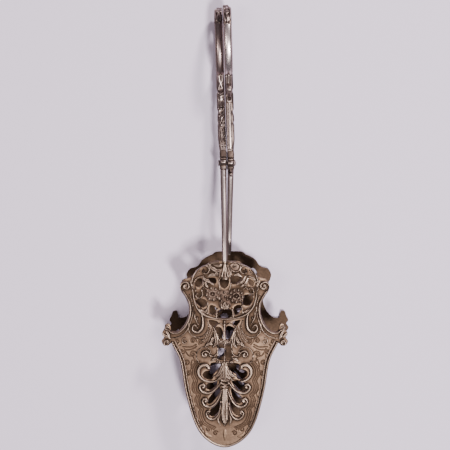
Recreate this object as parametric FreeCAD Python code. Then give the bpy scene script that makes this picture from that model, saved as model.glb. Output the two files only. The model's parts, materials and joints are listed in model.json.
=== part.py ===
import FreeCAD, Part
import math
import os

# Scissor-action serving tongs, lying on the lower blade and on the finger ring that hangs lower.
# The arms cross, so that ring belongs to the upper blade's arm.
# Millimetres. +X to the right, +Y towards the finger rings, +Z up from the surface.
# Each shape is drawn with the pivot over the origin and moved by pivot_y at the end, which
# puts the origin on the surface under the middle of the overall box.
# The two arms are the same casting: the lower one is the upper one turned half a turn
# about the Y axis through the pivot. Each arm is named after the blade that it carries.

V = FreeCAD.Vector

pivot_y = 37.4

# Blade
blade_length = 107.5       # tip to shoulder line
blade_tip_y = -159.9
blade_offset = 1.2         # sideways, so that each blade hangs under its own arm
plate_thickness = 1.0
relief = 1.2               # height of the cast ornament over the plate
rim_width = 2.3
rim_end = 58.8
pivot_z = 16.5             # half the overall height: the blades lie parallel about it

# Handle, measured along the arm from the pivot
ring_length = 37.4
ring_height = 22.0
ring_band = 2.2
ring_width = 4.6
ring_centre = 66.0
crest_height = 0.6
crest_start = 75.5
stem_width = 4.5
stem_end = 7.2
stem_taper_end = 13.0      # where the stem has its full width
arm_gap = 0.4              # side clearance between the two arms
handle_lean = 1.7          # degrees: both handles are bent slightly to -X

# Pivot
hub_radius = 4.6
hub_width = 3.8
pin_radius = 1.2
pin_clearance = 0.05
head_radius = 1.75
head_thickness = 1.0
head_clearance = 0.1

# Shank
shank_start_width = 3.5
shank_end_width = 2.8
shank_start_height = 2.6
shank_end_height = 1.9
shank_end_y = blade_tip_y + blade_length

overall_height = 2 * pivot_z
arm_centre = -(arm_gap + hub_width) / 2
big = 200.0


def tilt_of_ring():
    """The slope of the handle, in degrees, that just lays its ring on the surface."""
    tilt = 0.0
    for _ in range(8):
        reach = math.hypot(ring_length / 2 * math.sin(tilt), ring_height / 2 * math.cos(tilt))
        tilt = math.asin((pivot_z - reach) / ring_centre)
    return math.degrees(tilt)


ring_tilt = tilt_of_ring()


def spline(points):
    curve = Part.BSplineCurve()
    curve.interpolate(points)
    return curve.toShape()


def closed_spline(points):
    curve = Part.BSplineCurve()
    curve.interpolate(points, PeriodicFlag=True)
    return curve.toShape()


def flat(points):
    return [V(u, v, 0) for u, v in points]


def arc(a, b, c):
    return Part.Arc(*flat((a, b, c))).toShape()


def prism(edges, height, base=0.0):
    solid = Part.Face(Part.Wire(edges)).extrude(V(0, 0, height))
    solid.translate(V(0, 0, base))
    return solid


def blob(points, height, base=0.0):
    """A flat solid inside a smooth closed line."""
    return prism([closed_spline(flat(points))], height, base)


def disc(u, v, radius, height, base=0.0):
    return Part.makeCylinder(radius, height, V(u, v, base))


def strip(points, width, height, base=0.0, steps=8, centred=True):
    """A bar of constant width along a smooth line through the points, or on its left side."""
    line = Part.BSplineCurve()
    line.interpolate(flat(points))
    first, last = line.FirstParameter, line.LastParameter
    left, right = [], []
    for step in range(steps + 1):
        where = first + (last - first) * step / steps
        point, along = line.value(where), line.tangent(where)[0]
        across = V(-along.y, along.x, 0) * width
        left.append(point + across * (0.5 if centred else 1.0))
        right.append(point - across * (0.5 if centred else 0.0))
    right.reverse()
    ends = [Part.LineSegment(left[-1], right[0]).toShape(),
            Part.LineSegment(right[-1], left[0]).toShape()]
    return prism([spline(left), ends[0], spline(right), ends[1]], height, base)


def box(u0, u1, v0, v1, height=big, base=-big / 2):
    return Part.makeBox(u1 - u0, v1 - v0, height, V(u0, v0, base))


def mirrored(points):
    return [(-u, v) for u, v in points]


def joined(shapes):
    return shapes[0].multiFuse(shapes[1:]).removeSplitter()


# ---- Blade, drawn flat: u across, v from the tip up to the shoulder line ----

def tip_line():
    """The smooth line round the tip, from the left horn to the right horn."""
    side = [(0, 0), (5.0, 1.15), (10.2, 4.4), (14.5, 9.3), (18.0, 16.9), (22.4, 34.1),
            (25.3, 51.5), (29.8, 61.2)]
    return mirrored(side[:0:-1]) + side


def blade_outline():
    """The line round the tip, then arcs up both sides to the shoulder line."""
    horns = [((29.8, 61.2), (34.2, 60.0), (33.7, 64.4)),
             ((33.7, 64.4), (35.0, 66.6), (33.5, 69.0)),
             ((33.5, 69.0), (32.2, 71.8), (30.0, 67.8))]
    waist = [((30.0, 67.8), (20.9, 73.4), (20.0, 82.8)),
             ((20.0, 82.8), (21.5, 86.6), (23.9, 90.6))]
    shoulder = [((23.9, 90.6), (24.3, 94.9), (21.2, 97.8)),
                ((21.2, 97.8), (19.0, 98.0), (17.4, 99.4)),
                ((17.4, 99.4), (14.6, 103.0), (9.6, 105.0)),
                ((9.6, 105.0), (6.2, 106.9), (2.5, blade_length))]
    edges = [spline(flat(tip_line()))]
    for flip in (1, -1):
        for points in horns + waist + shoulder:
            edges.append(arc(*[(flip * u, v) for u, v in points]))
    top = [(2.5, blade_length), (-2.5, blade_length)]
    edges.append(Part.LineSegment(*flat(top)).toShape())
    return Part.Wire(Part.__sortEdges__(edges))


def piercings():
    """The pierced pattern, each opening given on the right and mirrored."""
    paired = [
        [(3.9, 97.9), (8.8, 97.7), (7.0, 95.0), (4.0, 94.6)],
        [(15.4, 96.2), (13.2, 97.5), (12.3, 95.4), (14.0, 92.8), (16.1, 93.5)],
        [(10.8, 86.8), (14.8, 86.8), (15.5, 84.7), (13.0, 82.2), (10.2, 82.9)],
        [(5.1, 81.1), (7.8, 82.3), (8.8, 81.0), (8.1, 78.5), (6.1, 77.2), (5.1, 78.5)],
        [(4.1, 72.9), (8.3, 73.8), (6.0, 70.8)],
        [(1.9, 69.7), (4.9, 69.4), (2.7, 63.6), (1.2, 63.4)],
        [(0.9, 60.0), (2.9, 60.0), (3.4, 51.6), (0.9, 51.6)],
        [(2.2, 48.5), (7.6, 48.8), (7.8, 45.7), (10.9, 44.9), (12.1, 43.1),
         (10.9, 41.0), (8.9, 40.0), (6.8, 40.8), (6.5, 42.8), (4.2, 44.6)],
        [(4.5, 39.2), (10.2, 38.2), (10.9, 35.0), (9.2, 33.9), (6.6, 35.4)],
        [(3.4, 34.9), (7.2, 31.3), (9.3, 28.5), (8.2, 26.3), (6.2, 27.6), (4.5, 30.4)],
        [(3.1, 27.2), (6.1, 24.2), (8.6, 21.4), (8.3, 19.2), (6.5, 19.2), (4.1, 21.6)],
    ]
    centred = [
        [(-2.2, 96.0), (2.2, 96.0), (1.6, 93.4), (0, 92.2), (-1.6, 93.4)],
        [(-2.9, 79.6), (2.9, 79.6), (3.7, 76.2), (-3.7, 76.2)],
    ]
    return paired + [mirrored(points) for points in paired] + centred


def blade_plate(outline):
    plate = Part.Face(outline).extrude(V(0, 0, plate_thickness))
    holes = [blob(points, 3 * plate_thickness, -plate_thickness) for points in piercings()]
    return plate.cut(holes)


def border_pieces():
    """The raised border: the moulding round the tip, then the castings up each side."""
    base = plate_thickness
    rim = strip(tip_line(), rim_width, relief, base, 24, False)
    pieces = {"rim_moulding": rim.common(box(-40, 40, -1, rim_end))}
    for name, side in (("right", 1), ("left", -1)):
        waist = [(31.6, 69.2), (26.4, 67.9), (21.2, 71.6), (18.8, 77.6), (19.0, 83.6), (21.2, 90.4)]
        horn = [(32.5, 63.4), (32.4, 68.6)]
        inward = [(18.6, 79.6), (18.9, 74.4), (17.6, 69.0), (14.2, 67.4), (12.6, 71.0)]
        top = [(19.0, 96.6), (14.6, 101.0), (9.2, 103.8), (5.6, 105.6), (2.6, 106.4)]
        waist, horn, inward, top = [[(side * u, v) for u, v in line]
                                    for line in (waist, horn, inward, top)]
        pieces["side_scroll_" + name] = joined([
            strip(waist, 2.2, relief, base), strip(horn, 2.0, relief, base),
            strip(inward, 1.5, relief, base), disc(side * 14.9, 70.0, 2.2, relief, base),
            disc(side * 32.3, 62.2, 2.5, relief, base), disc(side * 31.7, 69.4, 1.6, relief, base),
            disc(side * 20.2, 93.4, 4.1, relief, base)])
        pieces["crest_scroll_" + name] = joined([
            strip(top, 1.9, relief, base), disc(side * 10.6, 101.6, 2.6, relief, base)])
    return pieces


def flower_medallion():
    """Oval frame with two large flowers and a bud on a garland."""
    frame_u, frame_v, centre_v = 17.5, 16.6, 90.4
    oval = [(frame_u * math.cos(k * math.pi / 4), centre_v + frame_v * math.sin(k * math.pi / 4))
            for k in range(8)]
    inner = [(u * 0.9, centre_v + (v - centre_v) * 0.9) for u, v in oval]
    frame = blob(oval, 0.8 * relief, plate_thickness)
    frame = frame.cut(blob(inner, 2 * relief, plate_thickness - 0.1))
    frame = frame.common(box(-40, 40, 0, 96.5))
    garland = [strip([(-16.4, 89.5), (0, 88.8), (16.4, 89.5)], 2.6, 0.7 * relief, plate_thickness),
               strip([(0, 88.8), (0, 80.2)], 3.0, 0.7 * relief, plate_thickness)]
    for side in (1, -1):
        garland.append(strip([(side * 3.2, 82.0), (side * 4.5, 75.4)], 1.3, 0.7 * relief,
                             plate_thickness))
    flowers = [disc(-6.6, 88.9, 4.5, relief, plate_thickness),
               disc(6.6, 88.4, 4.5, relief, plate_thickness),
               disc(0, 83.0, 2.6, relief, plate_thickness)]
    return joined([frame] + garland + flowers)


def pedestal():
    """The stand under the medallion: a stem, two braces, a block and a slotted base."""
    height = 0.9 * relief
    bars = [strip([(0, 73.6), (0, 50.0)], 1.5, height, plate_thickness),
            strip([(-4.4, 61.6), (4.4, 61.6)], 2.6, height, plate_thickness),
            strip([(-6.0, 50.6), (6.0, 50.6)], 1.6, height, plate_thickness)]
    for side in (1, -1):
        bars.append(strip([(side * 7.6, 70.6), (side * 3.4, 62.4)], 1.5, height, plate_thickness))
        bars.append(strip([(side * 3.8, 61.0), (side * 4.2, 50.9)], 1.1, height, plate_thickness))
        bars.append(strip([(side * 4.0, 55.0), (side * 8.0, 53.2), (side * 11.0, 54.4)], 1.4,
                          height, plate_thickness))
        bars.append(disc(side * 11.2, 54.4, 2.6, height, plate_thickness))
        bars.append(strip([(side * 4.0, 60.8), (side * 5.4, 64.0), (side * 7.2, 67.4)], 2.2,
                          height, plate_thickness))
        bars.append(strip([(side * 4.2, 61.4), (side * 7.2, 60.6), (side * 9.8, 61.6)], 1.8,
                          height, plate_thickness))
    return joined(bars)


def palmette():
    """Long bud, husk and four pairs of ribs, each ending in a volute."""
    height = 0.9 * relief
    ribs = [([(0, 48.4), (8.6, 49.2), (13.4, 45.6), (12.0, 41.6), (7.6, 39.6)], None),
            ([(0.5, 40.0), (5.2, 36.2), (9.4, 33.4), (12.0, 36.3)], (12.0, 36.3, 2.1)),
            ([(0.5, 34.5), (4.6, 28.6), (7.8, 25.6), (11.3, 27.8)], (11.3, 27.8, 2.1)),
            ([(0.5, 27.0), (3.6, 20.6), (6.0, 18.0), (9.2, 20.0)], (9.6, 21.0, 1.6))]
    pieces = [blob([(0, 12.2), (2.7, 20.0), (2.6, 27.0), (1.7, 34.6), (0, 37.0),
                    (-1.7, 34.6), (-2.6, 27.0), (-2.7, 20.0)], relief, plate_thickness),
              blob([(0, 49.4), (3.2, 44.6), (6.2, 42.0), (2.4, 39.0), (0, 38.4),
                    (-2.4, 39.0), (-6.2, 42.0), (-3.2, 44.6)], height, plate_thickness),
              strip([(0, 39.5), (0, 35.5)], 2.4, height, plate_thickness)]
    for points, volute in ribs:
        for line in (points, mirrored(points)):
            pieces.append(strip(line, 1.2, height, plate_thickness))
        if volute:
            u, v, radius = volute
            pieces.append(disc(u, v, radius, height, plate_thickness))
            pieces.append(disc(-u, v, radius, height, plate_thickness))
    return joined(pieces)


def shank_foot():
    """The rounded drop at the end of the shank, lying on the plate."""
    half = [(1.5, 107.5), (1.5, 103.0), (2.3, 98.6), (1.6, 96.4), (0, 95.6)]
    edges = [spline(flat(half)), spline(flat(mirrored(half))),
             Part.LineSegment(V(-1.5, 107.5, 0), V(1.5, 107.5, 0)).toShape()]
    return prism(Part.__sortEdges__(edges), relief, plate_thickness)


def blade_pieces():
    outline = blade_outline()
    pieces = {"shank_foot": shank_foot(), "blade_plate": blade_plate(outline)}
    pieces.update(border_pieces())
    pieces["flower_medallion"] = flower_medallion()
    pieces["pedestal"] = pedestal()
    pieces["palmette"] = palmette()
    order = ["shank_foot", "rim_moulding", "side_scroll_left", "side_scroll_right",
             "crest_scroll_left", "crest_scroll_right", "flower_medallion", "pedestal", "palmette"]
    for place, name in enumerate(order):
        for earlier in order[:place]:
            pieces[name] = pieces[name].cut(pieces[earlier])
    lift = V(-blade_offset, blade_tip_y, overall_height - plate_thickness - relief)
    for shape in pieces.values():
        shape.translate(lift)
    return pieces


# ---- Handle, drawn along +Y from the pivot in the Y-Z plane, outer side towards -Z ----

def side_prism(edges, width):
    """A solid of the given width, inner side on the arm's, from a closed line in the Y-Z plane."""
    solid = Part.Face(Part.Wire(edges)).extrude(V(width, 0, 0))
    solid.translate(V(-arm_gap / 2 - width, 0, 0))
    return solid


def oval_prism(half_length, half_height, width):
    ellipse = Part.Ellipse(V(0, half_length, 0), V(0, 0, half_height), V(0, 0, 0)).toShape()
    solid = side_prism([ellipse], width)
    solid.translate(V(0, ring_centre, 0))
    return solid


def finger_ring():
    a, b = ring_length / 2, ring_height / 2
    ring = oval_prism(a, b, ring_width).cut(oval_prism(a - ring_band, b - ring_band, ring_width))
    rims = [edge for edge in ring.Edges if edge.isClosed()]
    return ring.makeFillet(0.8, rims)


def ring_crest():
    a, b = ring_length / 2, ring_height / 2
    crest = oval_prism(a + crest_height, b + crest_height, ring_width)
    crest = crest.cut(oval_prism(a, b, ring_width))
    return crest.common(box(-big, big, crest_start, big))


def stem():
    """Tapered bar with a bead, flaring into the finger ring."""
    inner = [(stem_end - 4, 2.0), (14, 1.9), (22, 2.3), (30, 1.7), (34.5, 1.5), (37.4, 2.6),
             (40.2, 1.7), (44, 2.6), (50.5, 4.6)]
    outer = [(stem_end - 4, -2.0), (16, -2.4), (26, -1.9), (34.5, -1.5), (37.4, -2.4),
             (40.2, -1.7), (44, -2.6), (50.5, -4.6)]
    top = spline([V(0, y, z) for y, z in inner])
    bottom = spline([V(0, y, z) for y, z in outer])
    ends = [Part.LineSegment(V(0, y, -z), V(0, y, z)).toShape()
            for y, z in ((stem_end - 4, 2.0), (50.5, 4.6))]
    bar = side_prism(Part.__sortEdges__([top, bottom] + ends), stem_width)
    hub_side, outside = -arm_gap / 2 - hub_width, -arm_gap / 2 - 2 * stem_width
    stem_side = -arm_gap / 2 - stem_width
    waste = Part.makePolygon([V(hub_side, 0, -big / 2), V(hub_side, stem_end, -big / 2),
                              V(stem_side, stem_taper_end, -big / 2),
                              V(outside, stem_taper_end, -big / 2), V(outside, 0, -big / 2),
                              V(hub_side, 0, -big / 2)])
    bar = bar.cut(Part.Face(waste).extrude(V(0, 0, big)))
    return bar.cut(oval_prism(ring_length / 2, ring_height / 2, 2 * ring_width))


def stem_scroll():
    """Open C-scroll on the outer side of the stem, below the finger ring."""
    centre_y, centre_z, radius, bore = 41.2, -3.6, 2.5, 1.1
    axis = V(1, 0, 0)
    start = V(arm_centre - 1.5, centre_y, centre_z)
    ring = Part.makeCylinder(radius, 3.0, start, axis)
    tail = Part.makeCylinder(1.4, 3.0, start + V(0, -3.6, 1.0), axis)
    hole = Part.makeCylinder(bore, 5.0, start - V(1, 0, 0), axis)
    return joined([ring, tail]).cut(hole)


def joint_block():
    hub = Part.makeCylinder(hub_radius, hub_width, V(arm_centre - hub_width / 2, 0, 0), V(1, 0, 0))
    neck_edges = Part.makePolygon([V(0, 2, -2.8), V(0, stem_end, -2.3), V(0, stem_end, 2.3),
                                   V(0, 2, 2.8), V(0, 2, -2.8)])
    neck = Part.Face(neck_edges).extrude(V(hub_width, 0, 0))
    neck.translate(V(arm_centre - hub_width / 2, 0, 0))
    block = hub.fuse(neck).removeSplitter()
    bore = Part.makeCylinder(pin_radius + pin_clearance, big, V(-big / 2, 0, 0), V(1, 0, 0))
    return block.cut(bore)


def drop_finial():
    """A drop hanging from the hub on the side away from the shank."""
    start_y, tip_y, radius = -2.6, -7.2, 1.5
    profile = [V(0, start_y, 0), V(1.0, start_y, 0), V(0.9, -4.4, 0), V(radius, -5.8, 0),
               V(0.9, tip_y + 0.3, 0), V(0, tip_y, 0)]
    edges = [Part.LineSegment(profile[0], profile[1]).toShape(), spline(profile[1:]),
             Part.LineSegment(profile[-1], profile[0]).toShape()]
    drop = Part.Face(Part.Wire(edges)).revolve(V(0, 0, 0), V(0, 1, 0), 360)
    drop.translate(V(arm_centre, 0, -2.4))
    return drop


def shank():
    """Slender bar from the hub to the shoulder of the blade."""
    end_z = pivot_z - plate_thickness - relief / 2
    stations = [(-2.8, 0.9), (-14.0, 4.3), (-28.0, 9.2), (-40.0, 12.9), (-47.5, 14.2),
                (shank_end_y + 0.02, end_z)]
    last = len(stations) - 1
    rings = []
    for place, (y, z) in enumerate(stations):
        before, after = stations[max(place - 1, 0)], stations[min(place + 1, last)]
        slope = math.degrees(math.atan2(before[1] - after[1], before[0] - after[0]))
        if place == last:
            slope = 0.0
        share = (y - stations[0][0]) / (stations[last][0] - stations[0][0])
        half_width = (shank_start_width * (1 - share) + shank_end_width * share) / 2
        half_height = (shank_start_height * (1 - share) + shank_end_height * share) / 2
        ellipse = Part.Ellipse(V(half_width, 0, 0), V(0, half_height, 0), V(0, 0, 0)).toShape()
        ellipse.rotate(V(0, 0, 0), V(1, 0, 0), 90 + slope)
        x = arm_centre * (1 - share) - blade_offset * share
        ellipse.translate(V(x, y, z))
        rings.append(Part.Wire(ellipse))
    return Part.makeLoft(rings, True, False)


def arm_pieces():
    """All of the upper arm, in place. Its ring is the lower one."""
    handle = {"finger_ring": finger_ring(), "ring_crest": ring_crest(), "stem": stem(),
              "stem_scroll": stem_scroll()}
    block, finial = joint_block(), drop_finial()
    handle["stem_scroll"] = handle["stem_scroll"].cut([handle["stem"], handle["finger_ring"]])
    for shape in handle.values():
        shape.rotate(V(0, 0, 0), V(1, 0, 0), -ring_tilt)
    block.rotate(V(0, 0, 0), V(1, 0, 0), -ring_tilt)
    finial = finial.cut(block)
    bar = shank().cut([block, finial])
    for shape in list(handle.values()) + [block, finial, bar]:
        shape.translate(V(0, 0, pivot_z))
    blade = blade_pieces()
    bar = bar.cut([blade[name] for name in ("blade_plate", "shank_foot", "crest_scroll_left",
                                            "crest_scroll_right")])
    return handle, dict(blade, joint_block=block, drop_finial=finial, shank=bar)


def pivot_pieces():
    """Screw through both hubs, fixed in the lower arm by its nut."""
    face = arm_gap / 2 + hub_width
    axis = V(1, 0, 0)
    head_x = -face - head_clearance - head_thickness
    shaft = Part.makeCylinder(pin_radius, face + head_thickness - head_x, V(head_x, 0, pivot_z), axis)
    head = Part.makeCylinder(head_radius, head_thickness, V(head_x, 0, pivot_z), axis)
    head_rim = [edge for edge in head.Edges if abs(edge.CenterOfMass.x - head_x) < 0.01]
    head = head.makeFillet(0.45, head_rim)
    slot = Part.makeBox(0.35, 0.45, 3 * head_radius,
                        V(head_x - 0.01, -0.22, pivot_z - 1.5 * head_radius))
    nut = Part.makeCylinder(head_radius, head_thickness, V(face, 0, pivot_z), axis)
    nut_rim = [edge for edge in nut.Edges
               if abs(edge.CenterOfMass.x - face - head_thickness) < 0.01 and edge.isClosed()]
    nut = nut.makeFillet(0.45, nut_rim).cut(shaft)
    return {"pivot_screw": head.fuse(shaft).removeSplitter().cut(slot), "pivot_nut": nut}


def write(node, shape):
    shape.translate(V(0, pivot_y, 0))
    span = shape.BoundBox
    print("%-26s solids %d  volume %8.2f  valid %s  x %.2f..%.2f  y %.2f..%.2f  z %.2f..%.2f" % (
        node, len(shape.Solids), shape.Volume, shape.isValid(), span.XMin, span.XMax,
        span.YMin, span.YMax, span.ZMin, span.ZMax))
    shape.exportStep(os.path.join("parts", node + ".step"))


def main():
    os.makedirs("parts", exist_ok=True)
    handle, working_end = arm_pieces()
    centre = V(0, 0, pivot_z)
    for prefix, turn in (("upper", 0), ("lower", 180)):
        placed = {}
        for group, lean in ((handle, handle_lean), (working_end, 0)):
            for name, shape in group.items():
                placed[name] = shape.copy()
                placed[name].rotate(centre, V(0, 1, 0), turn)
                placed[name].rotate(centre, V(0, 0, 1), lean)
        placed["stem"] = placed["stem"].cut(placed["joint_block"])
        for name, shape in placed.items():
            write(prefix + "_" + name, shape)
    for name, shape in pivot_pieces().items():
        write(name, shape)


main()
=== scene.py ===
import json
import math

import bpy
import numpy as np
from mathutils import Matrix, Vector


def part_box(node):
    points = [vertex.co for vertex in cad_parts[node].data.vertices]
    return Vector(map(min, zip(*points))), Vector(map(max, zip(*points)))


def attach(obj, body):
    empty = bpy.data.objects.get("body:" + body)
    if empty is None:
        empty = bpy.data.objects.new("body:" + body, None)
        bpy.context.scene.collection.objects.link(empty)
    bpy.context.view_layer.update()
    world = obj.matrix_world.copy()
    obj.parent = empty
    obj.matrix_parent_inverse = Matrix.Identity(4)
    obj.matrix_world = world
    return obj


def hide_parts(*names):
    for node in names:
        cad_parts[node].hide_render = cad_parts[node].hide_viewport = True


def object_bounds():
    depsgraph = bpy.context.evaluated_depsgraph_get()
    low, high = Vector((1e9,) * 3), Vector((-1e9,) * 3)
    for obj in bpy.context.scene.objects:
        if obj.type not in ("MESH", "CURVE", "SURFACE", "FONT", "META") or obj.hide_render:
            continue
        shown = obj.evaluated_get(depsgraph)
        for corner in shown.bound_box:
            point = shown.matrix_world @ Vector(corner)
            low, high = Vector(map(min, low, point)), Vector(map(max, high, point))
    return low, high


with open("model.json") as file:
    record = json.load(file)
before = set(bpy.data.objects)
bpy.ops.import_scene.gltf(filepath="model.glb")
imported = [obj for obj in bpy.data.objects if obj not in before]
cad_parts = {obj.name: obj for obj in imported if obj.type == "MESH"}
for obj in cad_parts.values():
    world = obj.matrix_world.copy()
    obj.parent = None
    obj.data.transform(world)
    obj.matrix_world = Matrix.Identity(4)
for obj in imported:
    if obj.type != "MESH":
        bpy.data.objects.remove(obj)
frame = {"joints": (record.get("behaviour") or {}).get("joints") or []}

# Scissor-action serving tongs. Lengths in the modelling code are in millimetres, and every
# mesh is turned into metres and into the frame's place as it is made.

cad_low, cad_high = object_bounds()
MM = 0.001

# ---- Places that come from the frame ----

plate_low, plate_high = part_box("upper_blade_plate")
ring_low, ring_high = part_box("upper_finger_ring")
hinge = frame["joints"][0]
PIVOT_Y, PIVOT_Z = hinge["pos_m"][1] / MM, hinge["pos_m"][2] / MM
PIVOT = np.array([0.0, PIVOT_Y, PIVOT_Z])
BLADE_X = (plate_low[0] + plate_high[0]) / 2 / MM
TIP_Y = plate_low[1] / MM
BLADE_LENGTH = (plate_high[1] - plate_low[1]) / MM
PLATE = (plate_high[2] - plate_low[2]) / MM
PLATE_TOP = plate_high[2] / MM
RELIEF = cad_high[2] / MM - PLATE_TOP
RING_TILT = math.atan2(PIVOT_Z - (ring_low[2] + ring_high[2]) / 2 / MM,
                       (ring_low[1] + ring_high[1]) / 2 / MM - PIVOT_Y)
HANDLE_LEAN = math.radians(1.7)
SHARP_EDGE = math.radians(42)


# ---- Smooth lines and steps ----

def unit(value):
    """Held between 0 and 1."""
    return np.clip(value, 0, 1)


def hump(where, centre, width, power=2):
    """1 at the centre, falling away smoothly to both sides."""
    return np.exp(-((where - centre) / width) ** power)


def curve(points, closed=False, step=0.25):
    """A smooth line through the points (centripetal Catmull-Rom), sampled finely."""
    p = np.array(points, float)
    if len(p) == 2:
        count = max(2, int(np.linalg.norm(p[1] - p[0]) / step) + 1)
        return p[0] + (p[1] - p[0]) * np.linspace(0, 1, count)[:, None]
    before, after = (p[-1:], p[:2]) if closed else (2 * p[:1] - p[1:2], 2 * p[-1:] - p[-2:-1])
    p = np.vstack([before, p, after])
    out = []
    for a, b, c, d in zip(p, p[1:], p[2:], p[3:]):
        tb = max(np.linalg.norm(b - a), 1e-6) ** 0.5
        tc = tb + max(np.linalg.norm(c - b), 1e-6) ** 0.5
        td = tc + max(np.linalg.norm(d - c), 1e-6) ** 0.5
        count = max(2, int(np.linalg.norm(c - b) / step) + 1)
        t = np.linspace(tb, tc, count, endpoint=False)[:, None]

        def between(start, end, first, last):
            return (end - t) / (end - start) * first + (t - start) / (end - start) * last

        ab, bc, cd = between(0.0, tb, a, b), between(tb, tc, b, c), between(tc, td, c, d)
        out.append(between(tb, tc, between(0.0, tc, ab, bc), between(tb, td, bc, cd)))
    if not closed:
        out.append(p[-2:-1])
    return np.vstack(out)


def spiral(centre, outer, inner, start, turns):
    """From the outside in; start in degrees, turns positive anticlockwise."""
    t = np.linspace(0, 1, max(8, int(abs(turns) * 360 / 6)))
    angle = math.radians(start) + turns * 2 * math.pi * t
    radius = outer * (inner / outer) ** t
    return np.stack([centre[0] + radius * np.cos(angle), centre[1] + radius * np.sin(angle)], 1)


def circle(centre, radius):
    """A circle, or an oval if radius is a pair."""
    angle = np.radians(np.linspace(0, 360, 120))
    ru, rv = np.broadcast_to(radius, 2)
    return np.stack([centre[0] + ru * np.cos(angle), centre[1] + rv * np.sin(angle)], 1)


def left_of(line):
    """Unit vectors to the left of the line's direction."""
    along = np.gradient(line, axis=0)
    along /= np.linalg.norm(along, axis=1)[:, None] + 1e-9
    return np.stack([-along[:, 1], along[:, 0]], 1)


def inset(line, distance):
    """The line moved to its left."""
    return line + left_of(line) * distance


def along_line(value, count):
    """A number, or a list spread evenly along a line, as one value for each of its points."""
    value = np.atleast_1d(np.array(value, float))
    return np.interp(np.linspace(0, 1, count), np.linspace(0, 1, len(value)), value)


def inside(closed, uu, vv):
    """Signed distance in from a closed line, positive inside."""
    shape = np.broadcast(uu, vv).shape
    best = np.full(shape, 1e9)
    odd = np.zeros(shape, bool)
    for a, b in zip(closed, np.roll(closed, -1, axis=0)):
        d = b - a
        t = unit(((uu - a[0]) * d[0] + (vv - a[1]) * d[1]) / max(d @ d, 1e-12))
        best = np.minimum(best, (uu - a[0] - t * d[0]) ** 2 + (vv - a[1] - t * d[1]) ** 2)
        if abs(d[1]) > 1e-12:
            crosses = (a[1] > vv) != (b[1] > vv)
            odd ^= crosses & (uu < a[0] + (vv - a[1]) * d[0] / d[1])
    return np.where(odd, 1, -1) * np.sqrt(best)


# ---- Relief: cast ornament as heights over a square grid ----

GRID = 0.21
U0, U1, V0, V1 = -37.0, 37.0, -2.0, BLADE_LENGTH + 2.0
US = np.arange(U0, U1, GRID)
VS = np.arange(V0, V1, GRID)
NU, NV = len(US), len(VS)
FAR_OUTSIDE = -5.0
THINNEST = 1.7 * GRID                 # a thinner moulding would break up on the grid
VEIN = 0.28                           # half the width of the groove along a vein
DIMPLE_FLOOR = 0.12                   # a dimple never goes lower than this


def window(points, margin):
    """The part of the grid round some points: its rows and columns, and their places."""
    low = points.min(0) - margin
    high = points.max(0) + margin
    u = slice(max(0, int((low[0] - U0) / GRID)), min(NU, int((high[0] - U0) / GRID) + 2))
    v = slice(max(0, int((low[1] - V0) / GRID)), min(NV, int((high[1] - V0) / GRID) + 2))
    return (v, u), US[u][None, :], VS[v][:, None]


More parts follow.
